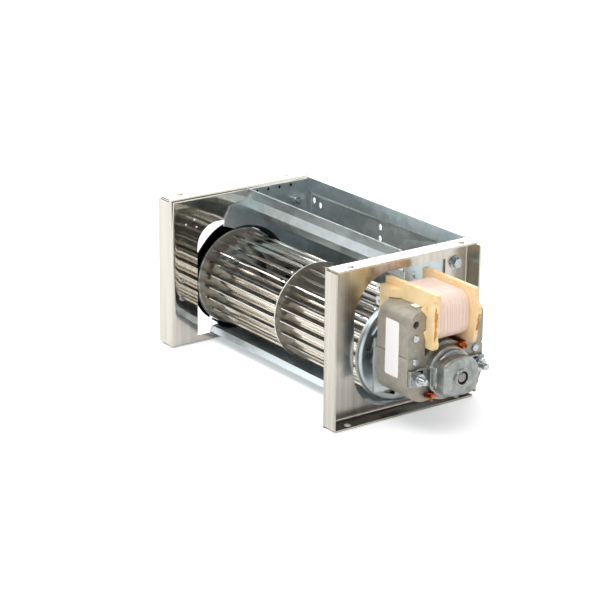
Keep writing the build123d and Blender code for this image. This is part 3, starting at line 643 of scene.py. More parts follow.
@dataclass(frozen=True)
class MattePolymer(Finish):
    """Rubber and film parts: even colour, faint grain in the gloss."""

    def work(self, tree: bpy.types.NodeTree, shader: bpy.types.Node) -> Relief | None:
        """Add the faint grain.

        Args:
            tree: the material's node tree.
            shader: its surface shader.

        Returns:
            The relief of the surface, or None.
        """
        grain = add_node(
            tree, "ShaderNodeTexNoise",
            inputs={"Vector": self.points(tree, EVEN), "Scale": 1.4, "Detail": 3.0},
        )
        gloss = self.spread(tree, grain.outputs["Fac"], self.roughness - 0.05, self.roughness + 0.08)
        tree.links.new(gloss, shader.inputs["Roughness"])
        return grain.outputs["Fac"], 0.1, 0.2


STAINLESS = BrushedStainless("brushed_stainless_sheet", "#BDB8AE", 1.0, 0.19, flange_shade=0.85)
BRIGHT_STAINLESS = BrushedStainless("bright_annealed_stainless_sheet", "#CFCBC2", 1.0, 0.05, brush_bump=0.004)
GALVANISED = GalvanisedSheet("galvanised_sheet", "#C2CED3", 1.0, 0.36)
BLADE_STRIP = BrightStrip("bright_steel_strip", "#EEEBE4", 1.0, 0.13)
DISC_SHEET = PlainMetal("dull_disc_sheet", "#9C9992", 1.0, 0.4, "#B0ADA6")
# Near-white rim: on the discs' outer edges partly their bright cut edge and partly a painted highlight, on
# the collar's bright band a painted highlight only
PAINTED_HIGHLIGHT_RIM = PlainMetal("painted_highlight_rim", "#EDEAE4", 0.8, 0.45, "#FFFFFF")
# Near-black sheet that paints shade: on the left collar and its dark band, in the side holes, and on the left
# cap's skirt
PAINTED_SHADE_SHEET = GalvanisedSheet("painted_shade_sheet", "#35373B", 1.0, 0.5, light="#45484C")
STAMPINGS = LaminatedSteel("varnished_stampings", "#8F8A80", 0.6, 0.42)
ZINC_CAST = Casting("zinc_die_casting", "#73787A", 0.95, 0.34, "#DDE2DC")
ALU_CAST = Casting("aluminium_die_casting", "#A6A8AB", 0.95, 0.4, "#C9CBCD")
ZINC_PLATE = PlainMetal("zinc_plated_steel", "#AEB5BB", 1.0, 0.24, "#D8DDE0")
GROUND_STEEL = PlainMetal("ground_steel", "#7C7A78", 1.0, 0.28, "#A6A4A1")
COPPER = PlainMetal("bare_copper", "#A9502A", 1.0, 0.34, "#D97B4C")
BRONZE = PlainMetal("sintered_bronze", "#8C6B3A", 1.0, 0.45, "#B08D55")
NYLON = MouldedNylon("glass_filled_nylon", "#F8E2B8", 0.0, 0.42)
TORN_NYLON = MouldedNylon("torn_nylon_edge", "#E0A050", 0.0, 0.6, browned="#9A5A20")
TAPE = TapedWinding("polyester_tape", "#EBCFC2", 0.0, 0.4)
RUBBER = MattePolymer("moulded_rubber", "#1C1C1D", 0.0, 0.6)
LABEL_FILM = MattePolymer("white_label_film", "#FDFDFC", 0.0, 0.4)


# Mesh helpers


def placed(x: float, y: float, z: float) -> Vector:
    """Point in metres at a station along X and at y and z from the impeller axis, in millimetres."""
    return Vector((x, AXIS.y + y, AXIS.z + z)) * MM


def new_verts(made: dict) -> list[bmesh.types.BMVert]:
    """The vertices among what an operator made."""
    return [item for item in made["geom"] if isinstance(item, bmesh.types.BMVert)]


def thicken(mesh: bmesh.types.BMesh, sheet: float) -> None:
    """Give an open surface the thickness of its sheet, in millimetres, with its faces outwards."""
    bmesh.ops.solidify(mesh, geom=mesh.faces[:], thickness=sheet * MM)
    bmesh.ops.recalc_face_normals(mesh, faces=mesh.faces[:])


def draw_out(mesh: bmesh.types.BMesh, shift: tuple[float, float, float]) -> None:
    """Draw a surface out into a closed shell, with its faces outwards.

    Args:
        mesh: the bmesh, which holds nothing else.
        shift: how far it is drawn out along X, Y and Z, in millimetres.
    """
    shell = bmesh.ops.extrude_face_region(mesh, geom=mesh.faces[:])
    bmesh.ops.translate(mesh, verts=new_verts(shell), vec=Vector(shift) * MM)
    bmesh.ops.recalc_face_normals(mesh, faces=mesh.faces[:])


def turned(mesh: bmesh.types.BMesh, points: Profile, y: float = 0.0, steps: int = 72) -> None:
    """Spin a profile once round a line along X.

    Args:
        mesh: the bmesh that gets the surface.
        points: stations along X and radii, in millimetres.
        y: the line's place along Y, from the impeller axis.
        steps: faces round the turn.
    """
    line = [mesh.verts.new(placed(x, y, radius)) for x, radius in points]
    edges = [mesh.edges.new(pair) for pair in zip(line, line[1:])]
    bmesh.ops.spin(
        mesh, geom=line + edges, cent=placed(0, y, 0), axis=(1, 0, 0), angle=math.tau, steps=steps,
        use_merge=True,
    )


def finished(mesh: bmesh.types.BMesh, name: str, finish: Finish, body: str) -> bpy.types.Object:
    """Turn a bmesh into a dressed piece that rides on a body.

    Args:
        mesh: the shape, in metres, in the row frame; it is freed.
        name: the piece's name.
        finish: what it is made of.
        body: the CAD body that it moves with.

    Returns:
        The new object.
    """
    data = bpy.data.meshes.new(name)
    mesh.to_mesh(data)
    mesh.free()
    piece = bpy.data.objects.new(name, data)
    bpy.context.scene.collection.objects.link(piece)
    data.materials.append(finish.material())
    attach(piece, body)
    return piece


def soften(piece: bpy.types.Object, angle: float = 32.0, bevel: float = 0.0) -> None:
    """Smooth a piece's shading up to an angle, with a small rounded edge where it is sharper.

    Args:
        piece: the object.
        angle: largest angle between faces that still shades smoothly, in degrees.
        bevel: edge radius in millimetres; 0 leaves the edges sharp.
    """
    data = piece.data
    data.shade_smooth()
    data.set_sharp_from_angle(angle=math.radians(angle))
    if bevel:
        rounding = piece.modifiers.new("rounded edges", "BEVEL")
        rounding.width = bevel * MM
        rounding.segments = 2
        rounding.limit_method = "ANGLE"
        rounding.angle_limit = math.radians(angle)
        rounding.harden_normals = True


def merged(node: str) -> bmesh.types.BMesh:
    """Copy a CAD node's triangles, welded and with its flat faces whole.

    Args:
        node: the CAD node's name.

    Returns:
        The copy.
    """
    mesh = bmesh.new()
    mesh.from_mesh(frame["nodes"][node].data)
    bmesh.ops.remove_doubles(mesh, verts=mesh.verts, dist=WELD)
    bmesh.ops.dissolve_limit(mesh, angle_limit=math.radians(0.5), verts=mesh.verts, edges=mesh.edges)
    return mesh


def refined(
    node: str, finish: Finish, body: str, angle: float = 32.0, bevel: float = 0.0
) -> bpy.types.Object:
    """Replace a CAD node by a merged copy that shades smoothly and has small rounded edges.

    Args:
        node: the CAD node's name.
        finish: what it is made of.
        body: the CAD body that it moves with.
        angle: largest angle that still shades smoothly, in degrees.
        bevel: edge radius in millimetres.

    Returns:
        The new object.
    """
    piece = finished(merged(node), f"{node}_refined", finish, body)
    soften(piece, angle, bevel)
    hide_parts(node)
    return piece


def dress(node: str, finish: Finish) -> None:
    """Give a CAD node its finish as it is.

    Args:
        node: the CAD node's name.
        finish: what it is made of.
    """
    data = frame["nodes"][node].data
    data.materials.clear()
    data.materials.append(finish.material())


# Sub-assemblies, with sizes in millimetres


@dataclass
class Impeller:
    """The turning drum: two rows of cambered blades between rings and a disc."""

    stations: tuple[float, float, float] = (-82.7, -0.5, 81.7)
    disc_sheet: float = 0.8
    blade_count: int = 24
    outer_radius: float = 30.0
    inner_radius: float = 22.8
    sweep: float = 10.0
    camber_radius: float = 7.0
    sheet: float = 0.6
    end_gap: float = 2.4
    corner: float = 2.1
    tab: Span = (24.6, 27.8)
    rim_band: float = 0.4
    skirt_rise: float = 1.0
    body: str = "impeller"

    def end_setback(self, radius: float) -> float:
        """Work out how far a blade stops short of its disc: none at the tab, rounded at the outer corner.

        Args:
            radius: distance from the axis.

        Returns:
            The distance along X.
        """
        if self.tab[0] <= radius <= self.tab[1]:
            return 0.0
        over = max(0.0, radius - (self.outer_radius - self.corner))
        return self.end_gap + self.corner - math.sqrt(max(0.0, self.corner**2 - over**2))

    def chord_point(self, share: float) -> Vector:
        """Find a point on the blade's middle line.

        Args:
            share: 0 at the outer edge and 1 at the inner edge.

        Returns:
            The point as (y, z) from the axis.
        """
        outer = Vector((self.outer_radius, 0.0))
        turn = math.radians(self.sweep)
        inner = Vector((self.inner_radius * math.cos(turn), -self.inner_radius * math.sin(turn)))
        chord = inner - outer
        middle = (outer + inner) / 2
        normal = Vector((-chord.y, chord.x)).normalized()
        centre = middle + normal * math.sqrt(self.camber_radius**2 - (chord.length / 2) ** 2)
        start = (outer - centre).angle_signed(Vector((1, 0)))
        end = (inner - centre).angle_signed(Vector((1, 0)))
        angle = start + (end - start) * share
        return centre + Vector((math.cos(angle), math.sin(angle))) * self.camber_radius

    def blade(self, x_from: float, x_to: float) -> bmesh.types.BMesh:
        """Bend one blade at angle 0 from a flat grid.

        Args:
            x_from: face of the disc at its left end.
            x_to: face of the disc at its right end.

        Returns:
            The blade as a closed shell.
        """
        mesh = bmesh.new()
        bmesh.ops.create_grid(mesh, x_segments=12, y_segments=28, size=0.5)
        for vertex in mesh.verts:
            point = self.chord_point(vertex.co.y + 0.5)
            setback = self.end_setback(point.length)
            x = x_from + setback + (vertex.co.x + 0.5) * (x_to - x_from - 2 * setback)
            vertex.co = placed(x, point.x, point.y)
        thicken(mesh, self.sheet)
        return mesh

    def row(self, name: str, x_from: float, x_to: float, node: str) -> None:
        """Make all blades of one section, turned about the axis from the first.

        Args:
            name: the piece's name.
            x_from: face of the disc at its left end.
            x_to: face of the disc at its right end.
            node: the CAD node that it replaces.
        """
        mesh = self.blade(x_from, x_to)
        first = mesh.verts[:] + mesh.edges[:] + mesh.faces[:]
        for index in range(1, self.blade_count):
            copy = bmesh.ops.duplicate(mesh, geom=first)
            turn = Matrix.Rotation(index * math.tau / self.blade_count, 3, "X")
            bmesh.ops.rotate(mesh, verts=new_verts(copy), cent=placed(0, 0, 0), matrix=turn)
        piece = finished(mesh, name, BLADE_STRIP, self.body)
        soften(piece, 40)
        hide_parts(node)

    def recolour_rim(self, piece: bpy.types.Object, finish: Finish, radius: float) -> None:
        """Give the faces that turn outwards beyond a radius their own finish.

        Args:
            piece: the object.
            finish: what its rim looks like.
            radius: where the rim starts, from the axis.
        """
        piece.data.materials.append(finish.material())
        for face in piece.data.polygons:
            offset = face.center / MM - Vector((0, AXIS.y, AXIS.z))
            if offset.yz.length > radius and abs(face.normal.x) < 0.5:
                face.material_index = 1

    def build(self) -> None:
        """Make the blades and dress the rings, caps and hubs."""
        half = self.disc_sheet / 2
        left, middle, right = self.stations
        self.row("blades_left", left + half, middle - half, "fan_blades_left")
        self.row("blades_right", middle + half, right - half, "fan_blades_right")
        for node in ("blade_ring_left", "blade_ring_right", "mid_disc"):
            disc = refined(node, DISC_SHEET, self.body)
            # Outer edges painted near white: partly the bright cut edge, partly a painted highlight
            self.recolour_rim(disc, PAINTED_HIGHLIGHT_RIM, self.outer_radius - self.rim_band)
        left_cap = refined("end_cap_left", GALVANISED, self.body)
        # The left cap's skirt is painted shade; the cap itself is the same bare galvanised part as the right
        # one
        self.recolour_rim(left_cap, PAINTED_SHADE_SHEET, self.outer_radius + self.skirt_rise)
        refined("end_cap_right", GALVANISED, self.body, bevel=0.2)
        for node in ("end_hub_left", "end_hub_right"):
            refined(node, ZINC_CAST, self.body, bevel=0.3)
        for node in ("stub_shaft", "motor_shaft"):
            refined(node, GROUND_STEEL, self.body)
        refined("rotor_core", STAMPINGS, self.body)
        refined("rotor_rings", ALU_CAST, self.body)
        dress("hub_set_screws", ZINC_PLATE)
        LOG.info("impeller built")


@dataclass
class Casing:
    """End plates and the sheet duct between them.

    The collar and its bands are a reading of the dark ring round the impeller's left end in the photograph.
    Their dark sheet is painted shade, and the bright edge band is a painted highlight.
    """

    collar_profile: Profile = ((-78.0, 34.6), (-78.5, 34.0), (-79.6, 33.3), (-86.0, 33.2), (-86.3, 32.0))
    collar_sheet: float = 0.7
    collar_span: Span = (-125.0, 101.0)
    band_taper: float = 0.85
    hole_face: float = -77.86
    hole_row: Span = (10.7, 37.1)
    hole_count: int = 4
    hole_height: float = 93.4
    hole_radius: float = 1.05
    body: str = "housing"

    def collar(self) -> None:
        """Make the collar drawn outwards from the left side sheet, round the impeller's end, in dark sheet
        that paints the shade there.
        """
        mesh = bmesh.new()
        begin, end = (math.radians(angle) for angle in self.collar_span)
        across = Vector((math.cos(begin), math.sin(begin)))
        line = [mesh.verts.new(placed(x, *(across * radius))) for x, radius in self.collar_profile]
        edges = [mesh.edges.new(pair) for pair in zip(line, line[1:])]
        bmesh.ops.spin(
            mesh, geom=line + edges, cent=placed(0, 0, 0), axis=(1, 0, 0), angle=end - begin, steps=72,
            use_merge=False,
        )
        bmesh.ops.recalc_face_normals(mesh, faces=mesh.faces[:])
        thicken(mesh, self.collar_sheet)
        # The collar's dark sheet is painted shade
        soften(finished(mesh, "side_sheet_collar", PAINTED_SHADE_SHEET, self.body), 40)

    def collar_band(
        self, name: str, finish: Finish, station: float, radii: Span, span: tuple[float, float, float]
    ) -> None:
        """Make a turned-out band of the left collar, widest at its upper front, behind the plate's opening;
        its finish paints shade there for the dark band and a highlight for the bright one.

        Args:
            name: the piece's name.
            finish: the dark sheet of painted shade, or the near-white rim of a painted highlight.
            station: where it stands along X.
            radii: its inner and outer radius.
            span: angles in degrees at which it starts, starts to narrow and ends.
        """
        mesh = bmesh.new()
        bmesh.ops.create_grid(mesh, x_segments=1, y_segments=64, size=0.5)
        start, narrow, end = span
        inner, outer = radii
        for vertex in mesh.verts:
            turn = start + (vertex.co.y + 0.5) * (end - start)
            wide = outer - inner
            if turn > narrow:
                wide *= 1 - self.band_taper * (turn - narrow) / (end - narrow)
            radius = inner + (vertex.co.x + 0.5) * wide
            around = math.radians(turn)
            vertex.co = placed(station, math.cos(around) * radius, math.sin(around) * radius)
        thicken(mesh, self.collar_sheet)
        soften(finished(mesh, name, finish, self.body), 40)

    def hole_backs(self) -> None:
        """Set dark discs in the holes along the left side sheet, as a stand-in for the shadow in them."""
        mesh = bmesh.new()
        first, last = self.hole_row
        turn = Matrix.Rotation(math.pi / 2, 4, "Y")
        for index in range(self.hole_count):
            y = first + index * (last - first) / (self.hole_count - 1)
            place = Matrix.Translation(Vector((self.hole_face, y, self.hole_height)) * MM) @ turn
            bmesh.ops.create_circle(
                mesh, cap_ends=True, segments=20, radius=self.hole_radius * MM, matrix=place
            )
        finished(mesh, "side_hole_backs", PAINTED_SHADE_SHEET, self.body)

    def build(self) -> None:
        """Dress the plates and the duct's sheets."""
        refined("end_plate_left", BRIGHT_STAINLESS, self.body)
        refined("end_plate_right", STAINLESS, self.body, bevel=0.08)
        for node in ("side_sheet_left", "side_sheet_right", "outlet_channel", "scroll_wall", "rear_panel"):
            refined(node, GALVANISED, self.body, bevel=0.15)
        self.collar()
        # Dark band round the left ring: painted shade
        self.collar_band("collar_shade_band", PAINTED_SHADE_SHEET, -83.2, (32.1, 37.4), (92.0, 158.0, 226.0))
        # Bright band on the collar's edge: a painted highlight
        self.collar_band("collar_highlight_band", PAINTED_HIGHLIGHT_RIM, -81.4, (37.6, 39.2), (92.0, 120.0, 168.0))
        self.hole_backs()
        for node in ("bearing_strap", "motor_bracket"):
            refined(node, GALVANISED, self.body, bevel=0.25)
        refined("bearing_rubber", RUBBER, self.body)
        dress("bearing_bush_left", BRONZE)
        for node in ("strap_screws", "bracket_screws", "flange_bolts", "clinch_nuts"):
            refined(node, ZINC_PLATE, self.body, bevel=0.3)
        LOG.info("casing built")


@dataclass
class Bobbin:
    """Moulded coil former, with the ragged front edges that both its flanges have in the photograph."""

    flange_front: float = 133.2
    flange_outer: float = 14.7
    leg_inner: float = 15.0
    edge_depth: float = 1.7
    groove_back: float = 130.0
    groove_floor: float = 13.4
    groove_span: Span = (20.0, 45.5)
    near_edge: Profile = (
        (16.3, 131.2), (19.0, 132.2), (24.0, 131.4), (29.0, 132.3),
        (34.0, 131.6), (40.0, 132.4), (45.0, 133.2), (49.4, 133.2),
    )
    far_edge: Profile = (
        (16.3, 133.0), (24.0, 134.6), (33.0, 136.6), (39.5, 137.4), (41.0, 134.4), (49.4, 133.8),
    )
    tear_back: float = 126.0
    tear_low: float = 17.4
    tear_step: float = 1.35
    tear_count: int = 24
    tear: Span = (-0.5, 0.3)
    block_end: Span = (102.0, 103.0)
    block_front: float = 97.2
    flash_back: float = 124.1
    flash_sheet: float = 0.9
    flash_upper: Profile = (
        (-14.7, 41.6), (-17.6, 41.2), (-19.2, 39.9), (-18.3, 38.4),
        (-16.8, 37.4), (-15.6, 35.6), (-14.7, 34.6),
    )
    flash_lower: Profile = (
        (-14.7, 27.2), (-15.6, 27.0), (-16.9, 26.0), (-16.2, 23.8),
        (-15.5, 21.0), (-15.2, 18.4), (-14.7, 17.0),
    )
    body: str = "housing"

    def edge_at(self, profile: Profile, height: float) -> float:
        """Find where a torn edge lies.

        Args:
            profile: the edge's heights above the axis and stations along X.
            height: the height above the axis.

        Returns:
            The station at that height.
        """
        for (low, x_low), (high, x_high) in zip(profile, profile[1:]):
            if height <= high:
                share = min(1.0, max(0.0, (height - low) / (high - low)))
                return x_low + share * (x_high - x_low)
        return profile[-1][1]

    def cut(self, mesh: bmesh.types.BMesh, axis: int, place: float) -> None:
        """Add an edge loop where a plane crosses the mesh.

        Args:
            mesh: the bmesh.
            axis: number of the axis that the plane is square to.
            place: the plane's place along that axis.
        """
        point, normal = Vector((0, 0, 0)), Vector((0, 0, 0))
        point[axis] = place * MM
        normal[axis] = 1.0
        geometry = mesh.verts[:] + mesh.edges[:] + mesh.faces[:]
        bmesh.ops.bisect_plane(mesh, geom=geometry, dist=1e-7, plane_co=point, plane_no=normal)

    def flanges(self) -> None:
        """Make the former, with torn flange edges, a groove along the near one and a short terminal block."""
        pick = random.Random(11)
        mesh = merged("bobbin")
        for x in (self.groove_back, self.tear_back):
            self.cut(mesh, 0, x)
        levels = [self.tear_low + step * self.tear_step for step in range(self.tear_count)]
        for level in levels:
            self.cut(mesh, 2, AXIS.z + level)
        tears = {round(level, 2): pick.uniform(*self.tear) for level in levels}
        near = 0.2
        for vertex in mesh.verts:
            x, y, z = vertex.co.x / MM, vertex.co.y / MM - AXIS.y, vertex.co.z / MM - AXIS.z
            if x > self.flange_front - self.edge_depth:
                profile = self.near_edge if y < 0 else self.far_edge
                x += self.edge_at(profile, z) - self.flange_front + tears.get(round(z, 2), 0.0)
            if abs(y + self.flange_outer) < near:
                grooved = x > self.groove_back + near and self.groove_span[0] < z < self.groove_span[1]
                y = -self.groove_floor if grooved else -self.leg_inner + 0.02
            if self.block_end[0] < x < self.block_end[1] and y < -self.leg_inner - 1:
                x = self.block_front
            vertex.co = placed(x, y, z)
        bmesh.ops.recalc_face_normals(mesh, faces=mesh.faces[:])
        piece = finished(mesh, "bobbin_moulding", NYLON, self.body)
        soften(piece, 32, 0.25)
        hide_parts("bobbin")

    def strip(
        self, name: str, seed: int, y: float, thick: float, x: Span, z: Span, slant: float = 0.0
    ) -> None:
        """Stand an irregular strip of moulding flash along a flange.

        Args:
            name: the piece's name.
            seed: start of its own random numbers.
            y: its outer face, from the axis.
            thick: its thickness towards +Y.
            x: its back and front edge.
            z: its lower and upper end above the axis.
            slant: how far it leans forward from its lower to its upper end.
        """
        pick = random.Random(seed)
        mesh = bmesh.new()
        bmesh.ops.create_grid(mesh, x_segments=3, y_segments=22, size=0.5)
        rows = {}
        for vertex in mesh.verts:
            front, back = rows.setdefault(
                round(vertex.co.y, 3), (pick.uniform(-0.55, 0.35), pick.uniform(-0.45, 0.45))
            )
            share = vertex.co.y + 0.5
            wide = (x[1] - x[0]) * min(1.0, 3.2 * share + 0.25, 3.2 * (1 - share) + 0.25)
            ragged = front if vertex.co.x > 0.3 else back * 0.4 if vertex.co.x < -0.3 else 0.0
            station = x[0] + (vertex.co.x + 0.5) * wide + ragged + slant * share
            wave = 0.25 * pick.random() if abs(vertex.co.x) < 0.3 else 0.0
            vertex.co = placed(station, y - wave, z[0] + share * (z[1] - z[0]))
        draw_out(mesh, (0, thick, 0))
        soften(finished(mesh, name, TORN_NYLON, self.body), 50)

    def flash(self, name: str, outline: Profile) -> None:
        """Curl thin moulding flash over the near leg's front.

        Args:
            name: the piece's name.
            outline: its corners as (y, z) from the axis.
        """
        mesh = bmesh.new()
        mesh.faces.new([mesh.verts.new(placed(self.flash_back, y, z)) for y, z in outline])
        draw_out(mesh, (self.flash_sheet, 0, 0))
        soften(finished(mesh, name, NYLON, self.body), 32, 0.2)

    def build(self) -> None:
        """Make the former and the flash and torn strips on it."""
        self.flash("flange_flash_upper", self.flash_upper)
        self.flash("flange_flash_lower", self.flash_lower)
        self.flanges()
        self.strip("flange_groove_near", 4, -self.groove_floor - 0.8, 0.9, (130.3, 132.2), (21.0, 44.5))
        self.strip("flange_groove_far", 9, 13.1, 0.8, (134.6, 136.4), (24.0, 39.0), 0.8)


@dataclass
class Winding:
    """Taped winding whose turns press through the tape as uneven ridges."""

    middle_x: float = 110.0
    half_x: float = 20.3
    low: float = 19.8
    high: float = 46.2
    corner: float = 8.5
    half_length: float = 12.0
    pitch: float = 2.3
    ridge: float = 0.55
    sink: float = 0.25
    end_round: float = 0.5
    drift: float = 0.45
    body: str = "housing"

    def outline(self, share: float) -> tuple[Vector, Vector]:
        """Follow the winding's rounded outline.

        Args:
            share: share of one turn, from its lower front.

        Returns:
            The point there and the outward direction, as (x, z).
        """
        flat_x = self.half_x - self.corner
        flat_z = (self.high - self.low) / 2 - self.corner
        arc = math.pi / 2 * self.corner
        legs = (2 * flat_z, arc, 2 * flat_x, arc) * 2
        run = share * sum(legs)
        centre = Vector((self.middle_x, (self.high + self.low) / 2))
        place, facing = Vector((self.half_x, -flat_z)), 0.0
        for index, length in enumerate(legs):
            part = min(run, length)
            if index % 2 == 0:
                place += Vector((-math.sin(facing), math.cos(facing))) * part
            else:
                turn = part / self.corner
                out = Vector((math.cos(facing), math.sin(facing)))
                far = Vector((math.cos(facing + turn), math.sin(facing + turn)))
                place += (far - out) * self.corner
                facing += turn
            run -= part
            if run <= 0:
                break
        return centre + place, Vector((math.cos(facing), math.sin(facing)))

    def build(self) -> None:
        """Bend one fine sheet round the former and press the turns into it."""
        pick = random.Random(6)
        count = round(2 * self.half_length / self.pitch)
        marks = [-self.half_length]
        for _ in range(count):
            marks.append(marks[-1] + self.pitch * pick.uniform(0.75, 1.3))
        scale = 2 * self.half_length / (marks[-1] - marks[0])
        marks = [-self.half_length + (mark + self.half_length) * scale for mark in marks]
        tall = [pick.uniform(0.55, 1.0) for _ in marks]
        phase = [pick.uniform(0, math.tau) for _ in marks]
        mesh = bmesh.new()
        bmesh.ops.create_grid(mesh, x_segments=120, y_segments=130, size=0.5)
        for vertex in mesh.verts:
            share, y = vertex.co.x + 0.5, vertex.co.y * 2 * self.half_length
            place, out = self.outline(share)
            to_end = y / self.half_length
            shifted = y + self.drift * math.sin(share * math.tau * 2 + 0.6) * (1 - to_end**2)
            index = max(i for i, mark in enumerate(marks[:-1]) if mark <= max(shifted, marks[0]))
            part = (shifted - marks[index]) / (marks[index + 1] - marks[index])
            swell = tall[index] * (0.8 + 0.2 * math.sin(share * math.tau * 3 + phase[index]))
            rise = self.ridge * swell * math.sqrt(max(0.0, math.sin(math.pi * min(1.0, max(0.0, part)))))
            spot = place + out * (rise - self.sink - self.end_round * to_end**6)
            vertex.co = placed(spot.x, y, spot.y)
        bmesh.ops.remove_doubles(mesh, verts=mesh.verts, dist=WELD)
        bmesh.ops.recalc_face_normals(mesh, faces=mesh.faces[:])
        piece = finished(mesh, "taped_winding", TAPE, self.body)
        soften(piece, 60)
        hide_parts("coil")


@dataclass
class FrontBracket:
    """Die-cast front bearing bracket: strap with ears, stepped round dome, faceted seat and boss."""

    seat: float = 124.0
    strap_top: float = 126.5
    strap_half: float = 5.5
    ear: float = 22.4
    ear_half: float = 4.7
    rib_top: float = 130.6
    rib_span: Span = (11.5, 15.9)
    rib_height: Span = (-5.0, 5.6)
    dome: Profile = (
        (124.0, 15.4), (127.8, 15.4), (128.5, 14.7), (128.5, 14.1),
        (131.2, 14.1), (132.0, 13.3), (132.0, 9.0),
    )
    face: float = 139.0
    bevel: float = 0.9
    facets: Profile = (
        (-12.6, 8.4), (-7.4, 11.6), (2.0, 12.3), (8.6, 10.4), (12.8, 5.2),
        (13.5, -6.0), (9.2, -10.7), (2.8, -11.3), (-4.8, -10.7), (-12.6, -8.4),
    )
    facet_corner: float = 1.3
    face_hole: float = 4.4
    boss_radius: float = 5.45
    boss_top: float = 140.3
    boss_sink: float = 0.2
    boss_chamfer: float = 0.5
    bore: float = 3.8
    bore_chamfer: float = 0.3
    bore_floor: float = 134.0
    body: str = "housing"

    def block(self, mesh: bmesh.types.BMesh, x: Span, y: Span, z: Span) -> None:
        """Add a box to the casting.

        Args:
            mesh: the bmesh.
            x: its ends along X.
            y: its ends along Y, from the axis.
            z: its ends along Z, from the axis.
        """
        size = [abs(end - start) * MM for start, end in (x, y, z)]
        middle = placed(*(sum(span) / 2 for span in (x, y, z)))
        matrix = Matrix.Translation(middle) @ Matrix.Diagonal((*size, 1.0))
        bmesh.ops.create_cube(mesh, size=1.0, matrix=matrix)

    def hat(self, mesh: bmesh.types.BMesh) -> None:
        """Raise the faceted seat from its outline and close it round the boss.

        Args:
            mesh: the bmesh.
        """
        loop = [mesh.verts.new(placed(self.strap_top, y, z)) for y, z in self.facets]
        for pair in zip(loop, loop[1:] + loop[:1]):
            mesh.edges.new(pair)
        bmesh.ops.bevel(
            mesh, geom=loop, offset=self.facet_corner * MM, segments=3, profile=0.5, affect="VERTICES",
            material=-1,
        )
        edges = [edge for edge in mesh.edges if not edge.link_faces]
        about = Matrix.Translation(-placed(0, 0, 0))
        for rise, shrink in ((self.face - self.bevel - self.strap_top, 0.985), (self.bevel, 0.925)):
            grown = bmesh.ops.extrude_edge_only(mesh, edges=edges)
            moved = new_verts(grown)
            edges = [
                item for item in grown["geom"]
                if isinstance(item, bmesh.types.BMEdge)
                and len(item.link_faces) == 1
                and all(vertex in moved for vertex in item.verts)
            ]
            bmesh.ops.translate(mesh, verts=moved, vec=(rise * MM, 0, 0))
            bmesh.ops.scale(mesh, verts=moved, vec=(1, shrink, shrink), space=about)
        place = Matrix.Translation(placed(self.face, 0, 0)) @ Matrix.Rotation(math.pi / 2, 4, "Y")
        hole = bmesh.ops.create_circle(
            mesh, cap_ends=False, segments=len(edges), radius=self.face_hole * MM, matrix=place
        )["verts"]
        rim = list({edge for vertex in hole for edge in vertex.link_edges})
        bmesh.ops.bridge_loops(mesh, edges=edges + rim)

    def build(self) -> None:
        """Make the bracket from its blocks and turned parts."""
        mesh = bmesh.new()
        self.hat(mesh)
        turned(mesh, self.dome)
        top, radius = self.boss_top, self.boss_radius
        turned(mesh, (
            (self.face - self.boss_sink, radius), (top - self.boss_chamfer, radius),
            (top, radius - self.boss_chamfer),
            (top, self.bore + self.bore_chamfer), (top - self.bore_chamfer, self.bore),
            (self.bore_floor, self.bore),
        ))
        half = self.strap_half
        self.block(mesh, (self.seat, self.strap_top), (-self.ear, self.ear), (-half, half))
        half = self.ear_half
        for side in (-1, 1):
            ear = side * self.ear
            self.block(mesh, (self.seat, self.strap_top), (ear - half, ear + half), (-half, half))
            rib = (side * self.rib_span[0], side * self.rib_span[1])
            self.block(mesh, (self.seat, self.rib_top), rib, self.rib_height)
        bmesh.ops.recalc_face_normals(mesh, faces=mesh.faces[:])
        piece = finished(mesh, "bracket_front_casting", ZINC_CAST, self.body)
        soften(piece, 28, 0.4)
        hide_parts("bearing_bracket_front")


